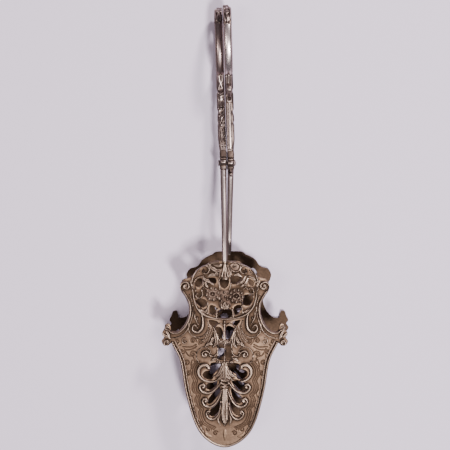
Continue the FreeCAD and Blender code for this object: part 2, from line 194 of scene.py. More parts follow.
class Relief:
    """edge is the distance in from the outline, and height the height over the plate.

    Points are drawn for the right half. While side is -1 they land mirrored on the left.
    """

    def __init__(self, side=1):
        self.side = side
        self.edge = np.full((NV, NU), FAR_OUTSIDE)
        self.height = np.zeros((NV, NU))

    def add(self, part, edge, height):
        self.edge[part] = np.maximum(self.edge[part], edge)
        self.height[part] = np.maximum(self.height[part], np.where(edge > 0, height, 0))

    def roll(self, line, radius, height, base=0.0, vein=0.0, flat=0.0):
        """A rounded moulding along a line. radius and height may be lists along it."""
        if isinstance(line, list):
            line = curve(line)
        line = line * (self.side, 1)
        radii = np.maximum(along_line(radius, len(line)), THINNEST)
        heights = along_line(height, len(line))
        part, uu, vv = window(line, radii.max() + 0.6)
        best = np.full((vv.shape[0], uu.shape[1]), 1e9)
        pick = np.zeros(best.shape, int)
        for k, (u, v) in enumerate(line):
            score = np.sqrt((uu - u) ** 2 + (vv - v) ** 2) - radii[k]
            pick = np.where(score < best, k, pick)
            best = np.minimum(best, score)
        r = radii[pick]
        near = unit(1 + best / r)                    # 0 on the line, 1 at the edge
        near = unit((near - flat) / (1 - flat))
        top = base + heights[pick] * np.sqrt(unit(1 - near ** 2))
        top = top - vein * np.exp(-(near * r / VEIN) ** 2) * heights[pick]
        self.add(part, -best, top)

    def spot(self, centre, radius, margin):
        """The window round a bead or a dimple, and 0 in its middle growing to 1 at its edge."""
        place = np.array([centre], float) * (self.side, 1)
        ru, rv = np.broadcast_to(radius, 2)
        part, uu, vv = window(place, max(ru, rv) + margin)
        return part, np.sqrt(((uu - place[0, 0]) / ru) ** 2 + ((vv - place[0, 1]) / rv) ** 2)

    def bead(self, centre, radius, height, base=0.0):
        part, q = self.spot(centre, radius, 0.6)
        self.add(part, (1 - q) * np.min(radius), base + height * np.sqrt(unit(1 - q * q)))

    def dimple(self, centre, radius, depth):
        """A round hollow pressed into whatever is there already."""
        part, q = self.spot(centre, radius, 0.3)
        was = self.height[part]
        self.height[part] = np.maximum(was - depth * unit(1 - q * q), np.minimum(was, DIMPLE_FLOOR))

    def volute(self, centre, outer, inner, start, turns, radius, height, bead, bead_height):
        """A scroll's curled end round a bead."""
        self.roll(spiral(centre, outer, inner, start, turns), radius, height)
        self.bead(centre, bead, bead_height)

    def leaf(self, points, width, height, lobes=0):
        """A pointed leaf along a line, with a groove down its middle and optional lobes."""
        line = curve(points)
        share = np.linspace(0, 1, len(line))
        outline = np.sin(math.pi * unit(share * 0.92 + 0.06)) ** 0.8
        if lobes:
            outline = outline * (0.78 + 0.22 * np.abs(np.sin(math.pi * lobes * share)))
        self.roll(line, width * outline + 0.12, height, vein=0.35)

    def patch(self, closed, height, shoulder):
        """A flat area inside a closed line, with rounded shoulders."""
        closed = closed * (self.side, 1)
        part, uu, vv = window(closed, 0.8)
        edge = inside(closed, uu, vv)
        self.add(part, edge, height * np.sqrt(unit(1 - (1 - unit(edge / shoulder)) ** 2)))


def blur(field, sigma):
    """Gaussian blur of a grid, sigma in millimetres."""
    reach = max(1, int(3 * sigma / GRID))
    kernel = np.exp(-0.5 * (np.arange(-reach, reach + 1) * GRID / sigma) ** 2)
    kernel /= kernel.sum()
    padded = np.pad(field, reach, mode="edge")
    rows = sum(w * padded[:, k:k + field.shape[1]] for k, w in enumerate(kernel))
    return sum(w * rows[k:k + field.shape[0], :] for k, w in enumerate(kernel))


# ---- Meshes ----

# Painted shade on the flat bottom of every sheet mesh; between the blades these are their inner faces.
UNDERSIDE_SHADE = 0.76


def new_mesh(name, verts, polygons, patina_and_shade, place):
    """A closed mesh in the frame's place, with its normals outward and a patina_and_shade attribute that
    holds tarnish in hollows and painted shade.
    """
    mesh = bpy.data.meshes.new(name)
    mesh.from_pydata((place(verts) * MM).tolist(), [], polygons)
    attribute = mesh.attributes.new("patina_and_shade", "FLOAT", "POINT")
    attribute.data.foreach_set("value", np.asarray(patina_and_shade, np.float32))
    mesh.validate()
    mesh.update()
    count = len(mesh.polygons)
    normals, centres, areas = (np.empty(count * size) for size in (3, 3, 1))
    for key, found in (("normal", normals), ("center", centres), ("area", areas)):
        mesh.polygons.foreach_get(key, found)
    if (areas * (normals * centres).reshape(-1, 3).sum(1)).sum() < 0:
        mesh.flip_normals()
    return mesh


def sheet_mesh(name, edge, top, bottom, lip, patina_and_shade, place, us=US, vs=VS):
    """A closed solid from a flat bottom to a height field, trimmed where edge crosses zero."""
    solid = edge > 0
    corner_id = np.full(edge.shape, -1)
    corner_id[solid] = np.arange(solid.sum())
    v_index, u_index = np.nonzero(solid)
    flat, tops, shades = [np.stack([us[u_index], vs[v_index]], 1)], [top[solid]], [patina_and_shade[solid]]
    count = len(v_index)
    row, col = np.indices(edge.shape)
    border_ids = []
    for first, second in ((np.s_[:, :-1], np.s_[:, 1:]), (np.s_[:-1, :], np.s_[1:, :])):
        near, far = edge[first], edge[second]
        cut = (near > 0) != (far > 0)
        found = int(cut.sum())
        ids = np.full(near.shape, -1)
        ids[cut] = count + np.arange(found)
        border_ids.append(ids)
        count += found
        t = np.clip(near[cut] / (near[cut] - far[cut]), 0.06, 0.94)
        r0, c0, r1, c1 = row[first][cut], col[first][cut], row[second][cut], col[second][cut]
        flat.append(np.stack([us[c0] + (us[c1] - us[c0]) * t, vs[r0] + (vs[r1] - vs[r0]) * t], 1))
        tops.append(np.full(found, lip))
        from_first = near[cut] > 0
        shades.append(patina_and_shade[np.where(from_first, r0, r1), np.where(from_first, c0, c1)])
    across, upward = border_ids
    corner = [corner_id[:-1, :-1], corner_id[:-1, 1:], corner_id[1:, 1:], corner_id[1:, :-1]]
    border = [across[:-1, :], upward[:, 1:], across[1:, :], upward[:, :-1]]
    mask = sum((c >= 0).astype(int) << k for k, c in enumerate(corner))
    flat = np.vstack(flat)
    total = len(flat)
    polygons = []
    for case in range(1, 16):
        here = mask == case
        if not here.any():
            continue
        ring = []
        for k in range(4):
            is_in, next_in = case >> k & 1, case >> ((k + 1) % 4) & 1
            if is_in:
                ring.append((corner[k][here], False))
            if is_in != next_in:
                ring.append((border[k][here], True))
        block = np.stack([ids for ids, _ in ring], 1)
        polygons += block.tolist()
        polygons += (block[:, ::-1] + total).tolist()
        for (ids, is_cut), (after, after_cut) in zip(ring, ring[1:] + ring[:1]):
            if is_cut and after_cut:
                polygons += np.stack([after, ids, ids + total, after + total], 1).tolist()
    verts = np.vstack([np.column_stack([flat, np.concatenate(tops)]),
                       np.column_stack([flat, np.full(total, bottom)])])
    shades.append(np.full(total, UNDERSIDE_SHADE))
    return new_mesh(name, verts, polygons, np.concatenate(shades), place)


def skin(name, grid, patina_and_shade, place, joined=False):
    """A mesh over rows of points, each a closed ring. The end rows are capped or joined."""
    rows, around = grid.shape[:2]
    polygons = []
    for i in range(rows if joined else rows - 1):
        start, after = i * around, (i + 1) % rows * around
        for j in range(around):
            right = (j + 1) % around
            polygons.append((start + j, start + right, after + right, after + j))
    verts, shades = grid.reshape(-1, 3), patina_and_shade.reshape(-1)
    if not joined:
        for start, step in ((0, -1), ((rows - 1) * around, 1)):
            end = slice(start, start + around)
            hub = len(verts)
            verts = np.vstack([verts, verts[end].mean(0)])
            shades = np.append(shades, shades[end].mean())
            for j in range(around):
                a, b = start + j, start + (j + 1) % around
                polygons.append((a, b, hub) if step > 0 else (b, a, hub))
    return new_mesh(name, verts, polygons, shades, place)


def swept(across, line, sideways, outward):
    """A grid of points: x from across, y and z from a line and its sideways directions."""
    across, outward = np.broadcast_arrays(across, outward)
    return np.stack([across] + [line[:, k:k + 1] + sideways[:, k:k + 1] * outward for k in (0, 1)], -1)


# ---- From a drawing's own axes to the frame's place ----

def blade_place(upper):
    """The lower blade is the upper one turned half a turn about the long axis."""

    def place(p):
        x, y, z = BLADE_X + p[:, 0], TIP_Y + p[:, 1], PLATE_TOP - PLATE + p[:, 2]
        if not upper:
            x, z = -x, 2 * PIVOT_Z - z
        return np.column_stack([x, y, z])
    return place


def handle_place(upper, tilt=0.0, lean=0.0):
    """tilt is the fall along the handle, and lean the turn to the side seen from above."""

    def place(p):
        x = p[:, 0]
        y = p[:, 1] * math.cos(tilt) - p[:, 2] * math.sin(tilt)
        z = p[:, 1] * math.sin(tilt) + p[:, 2] * math.cos(tilt)
        if not upper:
            x, z = -x, -z
        return np.column_stack([x * math.cos(lean) - y * math.sin(lean),
                                x * math.sin(lean) + y * math.cos(lean) + PIVOT_Y, z + PIVOT_Z])
    return place


def finish_piece(mesh, name, arm, slot, material, *replaced):
    """Smooth shading, the material, and what the frame needs to know about a piece."""
    piece = bpy.data.objects.new(name, mesh)
    bpy.context.scene.collection.objects.link(piece)
    mesh.shade_smooth()
    mesh.set_sharp_from_angle(angle=SHARP_EDGE)
    mesh.materials.append(material)
    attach(piece, arm)
    if replaced:
        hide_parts(*replaced)


# ---- Materials ----

def silver(name, ridge, middle, patina_and_shade, gloss, tarnish, tarnish_scale=55.0, dents=0.25):
    """Worn silver plate: bright on the ridges, brown in the recesses and where shade is painted, patchy in
    between.
    """
    material = bpy.data.materials.new(name)
    material.use_nodes = True
    tree = material.node_tree
    tree.nodes.clear()
    new, link = tree.nodes.new, tree.links.new
    output = new("ShaderNodeOutputMaterial")
    shader = new("ShaderNodeBsdfPrincipled")
    shader.inputs["Metallic"].default_value = 1.0
    link(shader.outputs[0], output.inputs[0])
    place = new("ShaderNodeTexCoord")
    # The mesh attribute darkens the colour: tarnish in hollows together with painted shade.
    depth = new("ShaderNodeAttribute")
    depth.attribute_name = "patina_and_shade"

    def noise(scale, detail, rough):
        node = new("ShaderNodeTexNoise")
        for key, value in (("Scale", scale), ("Detail", detail), ("Roughness", rough)):
            node.inputs[key].default_value = value
        link(place.outputs["Object"], node.inputs["Vector"])
        return node.outputs["Fac"]

    def math_node(kind, a, b):
        node = new("ShaderNodeMath")
        node.operation = kind
        for socket, value in zip(node.inputs, (a, b)):
            if isinstance(value, (int, float)):
                socket.default_value = value
            else:
                link(value, socket)
        return node.outputs[0]

    patches = noise(tarnish_scale, 5.0, 0.62)
    grain = noise(900.0, 4.0, 0.6)
    specks = noise(2600.0, 2.0, 0.5)
    spread = math_node("MULTIPLY", math_node("SUBTRACT", patches, 0.5), tarnish)
    fine = math_node("MULTIPLY", math_node("SUBTRACT", grain, 0.5), tarnish * 0.7)
    # Painted shade and hollow tarnish from the mesh, plus random tarnish patches and grain.
    tarnish_and_shade = math_node("ADD", depth.outputs["Fac"], math_node("ADD", spread, fine))
    ramp = new("ShaderNodeValToRGB")
    bright, dark = ramp.color_ramp.elements
    bright.position, dark.position = 0.12, 0.92
    bright.color, dark.color = (*ridge, 1), (*patina_and_shade, 1)
    ramp.color_ramp.elements.new(0.48).color = (*middle, 1)
    link(tarnish_and_shade, ramp.inputs["Fac"])
    link(ramp.outputs["Color"], shader.inputs["Base Color"])
    rough = math_node("ADD", gloss, math_node("MULTIPLY", tarnish_and_shade, 0.28))
    rough = math_node("ADD", rough, math_node("MULTIPLY", grain, 0.10))
    link(rough, shader.inputs["Roughness"])
    bump = new("ShaderNodeBump")
    bump.inputs["Strength"].default_value = dents
    bump.inputs["Distance"].default_value = 0.00006
    link(math_node("ADD", grain, math_node("MULTIPLY", specks, 0.4)), bump.inputs["Height"])
    link(bump.outputs["Normal"], shader.inputs["Normal"])
    return material


BLADE_SILVER = silver("blade_silver", (0.140, 0.098, 0.073), (0.104, 0.068, 0.050),
                      (0.052, 0.032, 0.023), 0.29, 0.42)
PLATE_SILVER = silver("plate_silver", (0.146, 0.094, 0.060), (0.080, 0.049, 0.032),
                      (0.036, 0.022, 0.014), 0.31, 0.50)
CAST_SILVER = silver("cast_silver", (0.235, 0.178, 0.156), (0.086, 0.059, 0.048),
                     (0.018, 0.011, 0.008), 0.24, 0.40)
BRIGHT_SILVER = silver("bright_silver", (0.56, 0.46, 0.43), (0.22, 0.16, 0.14),
                       (0.035, 0.023, 0.019), 0.20, 0.35, 30.0, 0.12)
# A darker copy of the ring silver: painted shade for the upper arm's ring, with duller tarnish.
DULL_SHADED_SILVER = silver("dull_shaded_silver", (0.28, 0.205, 0.185), (0.13, 0.088, 0.073),
                     (0.026, 0.016, 0.012), 0.22, 0.45, 40.0, 0.15)


# ---- The blade's ornament ----

ARMS = (("upper_", True), ("lower_", False))
BEVEL, BEVEL_WIDTH = 0.22, 0.35       # how far the plate's edge is rounded down, and how wide
SUNK = 0.12                           # how far the castings sink into the plate
OVERHANG = 0.25                       # how far a casting may reach over an opening
OPENING_DEPTH = -1.6                  # how deep an opening counts when tarnish and painted shade are worked out
LEVEL_RECESS, TARNISH_AND_SHADE_GAIN = 0.34, 1.5   # darkness of a level place, and its growth with depth
GROUND_V, GROUND_HALF = 88.4, (15.6, 12.4)     # the dark oval ground behind the flowers

HALF_TIP = [(5, 1.15), (10.2, 4.4), (14.5, 9.3), (18, 16.9), (22.4, 34.1), (25.3, 51.5), (29.8, 61.2)]
TIP_LINE = [(-u, v) for u, v in reversed(HALF_TIP)] + [(0, 0.03)] + HALF_TIP
SIDE_LINE = [(29.8, 61.2), (31.4, 59.7), (33.9, 59.9), (35.1, 62), (33.8, 64.3), (34.9, 66.4), (33.7, 69),
             (32.8, 71.6), (30.8, 72), (29.9, 69.6), (29.4, 67.9), (26.4, 67.9), (23.3, 70.4),
             (20.9, 74.4), (19.8, 79.4), (20.3, 83.6), (21.9, 87.2), (24, 90.6), (24.6, 93.9), (22.9, 97),
             (20.2, 97.9), (17.9, 99), (15.6, 102.2), (12.4, 104.4), (9.8, 105.6), (8, 107), (4.5, 107.4)]


def outline():
    """The plate's outer line, closed."""
    tip = curve(TIP_LINE)
    right = curve(SIDE_LINE)
    return np.vstack([tip[:-1], right, (right * (-1, 1))[::-1][:-1]])


def holes():
    """Each opening of the pierced pattern, as a smooth closed line."""
    left = [
        [(-9, 97.6), (-5.2, 97.6), (-5.1, 94.9), (-7.3, 95.2)],
        [(-15.6, 96.4), (-13.4, 97.7), (-12.2, 95.8), (-13.9, 93), (-16.4, 93.6)],
        [(-13.7, 86.2), (-10.7, 85.2), (-10.1, 82.9), (-12.3, 81.3), (-14.6, 82.9), (-16.2, 84.8)],
        [(-7.9, 82.4), (-5.1, 81.2), (-5.1, 78.3), (-6.7, 76.8), (-8.4, 78.4)],
        [(-8.7, 73.9), (-4, 72.8), (-6.2, 70.3), (-8.5, 72.4)],
        [(-5.1, 69.9), (-2.2, 69.4), (-1.3, 63.5), (-2.9, 63.8)],
        [(-3.2, 60.2), (-1, 60.2), (-0.7, 51.5), (-3.4, 51.5)],
        [(-7.7, 49.2), (-2.2, 48.7), (-4.9, 44.6), (-6.6, 42.8), (-7.1, 40.2), (-10.5, 40.4),
         (-12.3, 42.6), (-11, 44.4), (-8.4, 45.4)],
        [(-4.7, 39.2), (-4.6, 37), (-8.2, 34), (-10, 34.7), (-10.2, 36.9)],
        [(-3.1, 35.4), (-2.6, 33.5), (-4.8, 29.5), (-7.6, 26.2), (-9.4, 25.9), (-9, 28.4),
         (-7, 31.3)],
        [(-2.9, 27.5), (-2.6, 23.6), (-4.2, 20), (-7, 18.5), (-9.1, 19.5), (-8.4, 21.7),
         (-5.9, 24.3)],
    ]
    right = [
        [(3.5, 98.7), (9.1, 98), (6.9, 95.2), (3.6, 94.7)],
        [(13.2, 97), (15.6, 95.6), (15, 93.4), (13.2, 94.6)],
        [(10.7, 88), (15.2, 88), (15.3, 85.1), (13.6, 82.8), (10.2, 82.8), (10.2, 85.7)],
        [(5.1, 81.2), (7.6, 82.7), (9.3, 81.7), (8.1, 78.8), (5.9, 77.1)],
        [(4.3, 72.7), (8.3, 73.9), (6, 70.9)],
        [(1.2, 70.5), (5, 69.3), (2.3, 63.4), (0.8, 63)],
        [(0.6, 60.2), (3, 60.2), (3.7, 51.5), (0.6, 51.5)],
        [(1.7, 48.7), (7.9, 48.7), (7.7, 45.6), (10.8, 45.4), (12.5, 44), (11.8, 41.6),
         (8.8, 39.8), (6.8, 41), (6.5, 42.8), (3.4, 44.6)],
        [(4, 39.5), (10.8, 38.3), (11.5, 33.8), (8.6, 33.5), (5.7, 35.8)],
        [(3.7, 34.5), (7.5, 31.3), (9.5, 28.9), (8.6, 26.2), (6.8, 26.2), (4.6, 29.5)],
        [(3.2, 27.2), (6.4, 24.3), (8.8, 21.3), (8.4, 19.1), (6.7, 19.1), (4.1, 21.9)],
    ]
    centre = [
        [(-2.7, 97), (1.9, 97), (1.5, 93.6), (-0.7, 92.1), (-2.4, 94.1)],
        [(-2.9, 79.9), (3.2, 79.9), (3.8, 76), (-4, 75.8)],
    ]
    return [curve(points, closed=True, step=0.4) for points in left + right + centre]


def rim_relief():
    """The rim round the blade's lower half, and a finer line inside it."""
    r = Relief()
    tip = curve(TIP_LINE)
    fade = [1.1, 1.1, 1.05, 0.9, 0.5, 0.32, 0.5, 0.9, 1.05, 1.1, 1.1]
    r.roll(inset(tip, 0.8), 0.8, fade)
    fine = inset(tip, 2.25)
    fine = fine[fine[:, 1] > 9]
    for side in (1, -1):
        r.roll(fine[side * fine[:, 0] > 0], 0.42, [0.6, 0.6, 0.5, 0.35, 0.1][::side])
    return r


def side_relief(side):
    """Horn volutes, waist moulding, shoulder volute and the scroll inside them, of one side."""
    r = Relief(side)
    r.volute((32.1, 61.3), 2.3, 0.55, 235, 1.35, [0.8, 0.75, 0.5], [1.15, 1, 0.8], 0.8, 1.15)
    r.leaf([(31, 64.6), (33.2, 65.2), (34.5, 67.4)], 0.95, 1)
    r.leaf([(30.2, 63.2), (31.4, 66.4), (33.2, 68.9)], 0.85, 0.95)
    r.volute((31.8, 70), 1.5, 0.35, 250, 1.2, [0.65, 0.5, 0.35], [1.15, 1, 0.8], 0.55, 1.15)
    waist = [(31, 68.6), (29.2, 66.9), (26, 67), (22.6, 69.7), (20.1, 74.1), (18.9, 79.4), (19.4, 84),
             (21, 87.6), (22.9, 90.6)]
    r.roll(waist, [0.6, 0.75, 0.85, 0.85, 0.8, 0.65, 0.6], 1.15)
    second = [(29.2, 64), (26.6, 64.3), (23.4, 65.8), (21, 68.4), (18.9, 73.4), (17.5, 79.2), (17.9, 84.4),
              (19.4, 88.6)]
    r.roll(second, [0.4, 0.5, 0.55, 0.5, 0.42, 0.36, 0.36], 0.8)
    r.volute((21.5, 93.3), 3.3, 0.75, -40, 1.5, [0.85, 0.8, 0.55], [1.15, 1.1, 0.9], 1, 1.15)
    r.leaf([(17.9, 90.4), (17.8, 93.4), (19.2, 96.6)], 0.8, 0.9)
    r.bead((22.1, 86.9), 0.8, 1)
    r.bead((21, 85.2), 0.5, 0.9)
    contour = [(18.2, 82), (19.2, 76), (20.1, 70.6), (19.5, 67.2), (17.6, 65.2), (14.9, 64.4), (12, 65.2),
               (9.8, 67.8), (9, 71), (9.9, 74)]
    r.roll(contour, [0.3, 0.36, 0.4, 0.42, 0.42, 0.42, 0.4, 0.34, 0.3], 0.75)
    body = [(13.4, 79.4), (12.4, 76), (12.2, 72.4), (12.9, 69.2), (15, 67.3), (17.2, 67.8), (18, 69.8),
            (17, 71.5), (15.6, 70.9)]
    r.roll(body, [0.35, 0.7, 1, 1.2, 1.25, 1.1, 0.95, 0.75, 0.6], 1.1)
    r.roll([(16.6, 79), (16.6, 76), (15.4, 73.4), (14.6, 71.8)], [0.35, 0.6, 0.6, 0.4], 0.95)
    r.bead((15.2, 75.4), 0.85, 1.1)
    r.bead((15.4, 69.9), 0.8, 1.15)
    return r


def crest_relief(side):
    """The C-scroll along the top edge, with the leaves or the shell beside the shank."""
    r = Relief(side)
    arch = [(18.3, 95.4), (17.6, 98.2), (15.9, 101.6), (13.9, 103.9), (11.3, 104.9), (9.3, 104.3),
            (8.5, 102.7), (9.3, 101), (10.9, 100.4), (12.1, 101.5), (11.5, 102.8)]
    r.roll(arch, [0.6, 0.75, 0.8, 0.8, 0.75, 0.7, 0.65, 0.6, 0.5, 0.4], 1.15)
    r.bead((10.7, 101.9), 0.6, 1.1)
    r.roll([(17, 94.6), (16.6, 96.4), (14.9, 98.2), (12.9, 98.9), (11.5, 98)], [0.3, 0.5, 0.55, 0.5, 0.35],
           0.9)
    r.roll([(15.6, 99.6), (13.9, 101.4), (13.6, 102.2)], [0.3, 0.4, 0.3], 0.6)
    r.roll([(9.6, 105.2), (6.8, 106.3), (3.4, 106.8)], [0.5, 0.55, 0.5], 0.9)
    r.leaf([(4.8, 99.3), (7, 99.9), (9.4, 98.6)], 0.9, 0.8)
    if side < 0:
        r.leaf([(1.8, 102.4), (4.6, 102.2), (7.2, 103.6), (8.8, 106.2)], 1.35, 1.1, lobes=3)
        r.leaf([(1.6, 105.6), (3.8, 104.8), (6.2, 105.4)], 0.95, 1)
        r.bead((9, 105.7), 0.85, 1.15)
        r.volute((4.1, 100.4), 1.25, 0.4, 120, -1.2, [0.55, 0.45, 0.35], 1.1, 0.5, 1.1)
    else:
        r.patch(circle((5.4, 104.2), (3, 2.4)), 0.3, shoulder=0.5)
        r.roll([(2.7, 104.4), (3.7, 102.5), (5.6, 101.6), (7.6, 102.2), (8.6, 104.1), (8, 106),
               (6.9, 106.3)], [0.4, 0.55, 0.65, 0.6, 0.6, 0.55, 0.4], 1.15)
        r.roll([(1.9, 106.8), (3.6, 106.9), (5.2, 106.6)], 0.45, 1.1)
        r.roll(spiral((5.5, 104.3), 1, 0.35, 200, -1), 0.4, 0.75)
        r.leaf([(1.5, 105.4), (2.7, 102.4), (3.9, 99.3)], 1, 1.05)
    return r


def flower(r, centre, size, petals, turn, crisp):
    """A low dome with round petal tips, a ring and a button. Worn flowers are less crisp."""
    cu, cv = centre
    r.bead(centre, size, 0.42)
    for k in range(petals):
        angle = math.radians(turn + k * 360 / petals)
        tip = (cu + size * 0.8 * math.cos(angle), cv + size * 0.8 * math.sin(angle))
        r.bead(tip, size * 0.23, crisp)
    r.roll(circle(centre, size * 0.42), size * 0.11, 0.85 * crisp)
    r.dimple(centre, size * 0.28, 0.6 * crisp)
    r.bead(centre, size * 0.17, 1.2 * crisp)


def medallion_relief():
    """The round frame with its flowers, leaves, small scrolls and cup."""
    r = Relief()
    frame_line = [(17.9, 93.6), (17.6, 90), (16.9, 85.6), (15.4, 81.4), (12.3, 77.9), (6.4, 75.5),
                  (0, 74.8), (-6.4, 75.4), (-12.3, 77.7), (-15.2, 81), (-16.8, 85.4), (-17.5, 90),
                  (-17.8, 93.6)]
    r.roll(frame_line, [0.45, 0.6, 0.75, 0.8, 0.75, 0.7, 0.65, 0.7, 0.75, 0.75, 0.65, 0.6, 0.45], 1.1)
    inner_line = [(u * 0.905, 91.2 + (v - 91.2) * 0.905) for u, v in frame_line]
    r.roll(inner_line, 0.36, 0.72)
    r.bead((0, 83.2), 3.5, 0.42)
    r.bead((0, 88.6), (4.4, 2.6), 0.38)
    flower(r, (-6.9, 88.9), 4.1, 8, 12, 0.75)
    flower(r, (6.3, 87.8), 4.3, 9, 30, 1)
    for place, size in (((-3.1, 86.5), 1.1), ((0.4, 87.4), 0.75), ((-0.4, 89.9), 0.7), ((1.4, 85.8), 0.7),
                        ((-1.9, 85), 0.75), ((1.6, 89.2), 0.6), ((-1.9, 88.3), 0.6)):
        r.bead(place, size, 0.85, 0.1)
    r.leaf([(0.1, 80.4), (0, 82.4), (0, 84.6)], 1.5, 1.15)
    r.leaf([(0.2, 80.6), (1.6, 81.6), (2.2, 83.4)], 0.9, 1)
    r.leaf([(-0.2, 80.6), (-1.5, 81.6), (-2.1, 83.4)], 0.9, 1)
    small = [(-11.2, 92.8), (-12.5, 91.6), (-12.3, 89), (-12.9, 87.3), (-14.6, 86.7), (-15.9, 87.9),
             (-15.3, 89.3), (-14.3, 88.8)]
    r.roll(small, [0.4, 0.5, 0.55, 0.6, 0.6, 0.5, 0.4], 1.05)
    r.bead((-11.5, 92.6), 0.65, 1.1)
    r.roll([(10.9, 94.6), (11.6, 92.8), (12.9, 91.8), (14.4, 92.5), (15.7, 91.7), (15.8, 89.9), (14.5, 89),
           (13.6, 90)], [0.35, 0.45, 0.5, 0.55, 0.6, 0.55, 0.4], 1.05)
    r.bead((14.6, 90.6), 0.45, 1)
    r.leaf([(-11.9, 99.2), (-10.7, 96.9), (-8.4, 96), (-5.8, 94.1)], 1.25, 1.1, lobes=3)
    r.leaf([(-10.6, 96.2), (-10.3, 94.2), (-9.4, 92.9)], 0.9, 0.95)
    r.leaf([(11.6, 99.2), (9.8, 96.1), (6.2, 94.2)], 1, 1, lobes=4)
    r.leaf([(12.9, 98.2), (11.6, 95.4), (8.6, 92.8)], 0.75, 0.9, lobes=3)
    r.leaf([(14, 98.8), (15.8, 97.7), (17.3, 95.8)], 0.6, 0.8)
    r.leaf([(-15.2, 80.6), (-12.5, 78.6), (-9.3, 79.6)], 1.35, 1.1)
    r.bead((-10.2, 79.9), 0.8, 1.1)
    r.leaf([(14.9, 80.8), (12.8, 79.2), (10.4, 79)], 0.8, 0.9)
    r.roll([(-3.4, 75.7), (0, 75.4), (3.4, 75.8)], 0.4, 0.7)
    for r.side in (1, -1):
        r.roll([(3.2, 97.6), (3.3, 94.8), (2.6, 91.4)], [0.45, 0.5, 0.55], 0.7)
        r.roll([(4, 80.8), (4.5, 78.2), (4.7, 75.4)], [0.5, 0.5, 0.55], 0.75)
        r.roll([(9.4, 84.6), (9.5, 81.6), (9.9, 78)], [0.45, 0.45, 0.5], 0.7)
        r.roll([(10, 91.6), (12, 93.6), (11.6, 96.6)], 0.4, 0.5)
    return r


def pedestal_relief():
    """Stem and braces, block, slotted base, acanthus leaves and the scrolls beside them."""
    r = Relief()
    r.roll([(-0.1, 73.4), (-0.2, 68), (-0.3, 62.4)], [0.8, 0.85, 0.7, 0.7, 0.75], 1, vein=0.3)
    r.bead((-0.1, 73), 1, 1.1)
    r.patch(curve([(-3.5, 62.4), (3.5, 62.4), (3.1, 60.7), (-3, 60.7)], True), 0.7, shoulder=0.4)
    r.roll([(-3.4, 61.4), (-1.2, 61.5), (0.3, 62.3), (1.7, 61.4), (3.4, 62.9)], [0.6, 0.6, 0.75, 0.7, 0.6],
           1.15)
    r.roll([(-0.1, 61), (-0.1, 50.6)], 0.55, 1)
    r.roll([(-4.6, 50.1), (0, 49.9), (4.7, 50.2)], 0.6, 0.95)
    for u, size in ((-3.2, 1.05), (1.1, 0.95), (3.2, 1), (-1.1, 0.7)):
        r.bead((u, 50.1), size, 1.15)
    for r.side in (1, -1):
        r.roll([(6.5, 70.8), (4.6, 66.6), (2.9, 62.4)], [0.55, 0.6, 0.65], 1.05)
        r.roll([(0.9, 71.4), (2.4, 72.4), (3.8, 71.9), (5.4, 70.4)], [0.3, 0.42, 0.42, 0.35], 0.8)
        r.roll([(3.8, 61), (3.9, 56), (4.2, 51)], 0.48, 0.9)
        r.leaf([(5.9, 68), (4.9, 64.4), (4.9, 61), (6.6, 58.6)], 1.45, 1.15)
        r.leaf([(6.6, 64.6), (7.4, 62), (8.4, 60.6)], 1, 0.95)
        r.leaf([(6.8, 60.4), (9, 60.7), (10.9, 59.3)], 1, 1.05)
        r.roll([(3.9, 58.4), (4.4, 55.2), (6.3, 53.5), (8.1, 54)], [0.45, 0.6, 0.6, 0.45], 1)
        r.leaf([(4.4, 52.4), (6, 51.9), (7.6, 50.9)], 0.9, 0.85)
        r.volute((11, 54.5), 2.9, 0.65, 200, -1.35, [0.6, 0.75, 0.7, 0.5], 1.1, 0.95, 1.15)
        r.roll([(7.7, 55.4), (8.5, 57.6), (10.6, 58.9), (13.2, 58.3), (15.2, 56.2), (15.8, 53.2),
               (15, 50.6), (13.6, 49.2)], [0.3, 0.36, 0.42, 0.42, 0.36, 0.3], 0.6)
        r.roll(spiral((22.1, 62), 2.1, 0.4, 90, -1.4), [0.45, 0.3], 0.55)
        for gap in (0, 1.2, 2.3):
            r.roll([(6.4 + gap, 70.4 + gap * 0.3), (7.6 + gap, 66.2), (8.8 + gap, 62.8 + gap * 0.4),
                   (10.6 + gap, 60.6 + gap * 0.7)], [0.25, 0.34, 0.3], 0.42)
    return r


def lobe(r, rib, rib_width, hook, hook_radius, height=1.1):
    """One leaf of the palmette: a swelling rib that ends in a rolled-over lobe."""
    r.roll(rib, rib_width, height)
    start = math.degrees(math.atan2(rib[-1][1] - hook[1], rib[-1][0] - hook[0]))
    end = rib_width[-1]
    r.roll(spiral(hook, hook_radius, 0.45, start, 0.95), [end, end * 0.95, end * 0.8, 0.6], height)
    r.bead(hook, hook_radius * 0.92, 0.62)
    r.bead(hook, 0.8, height)


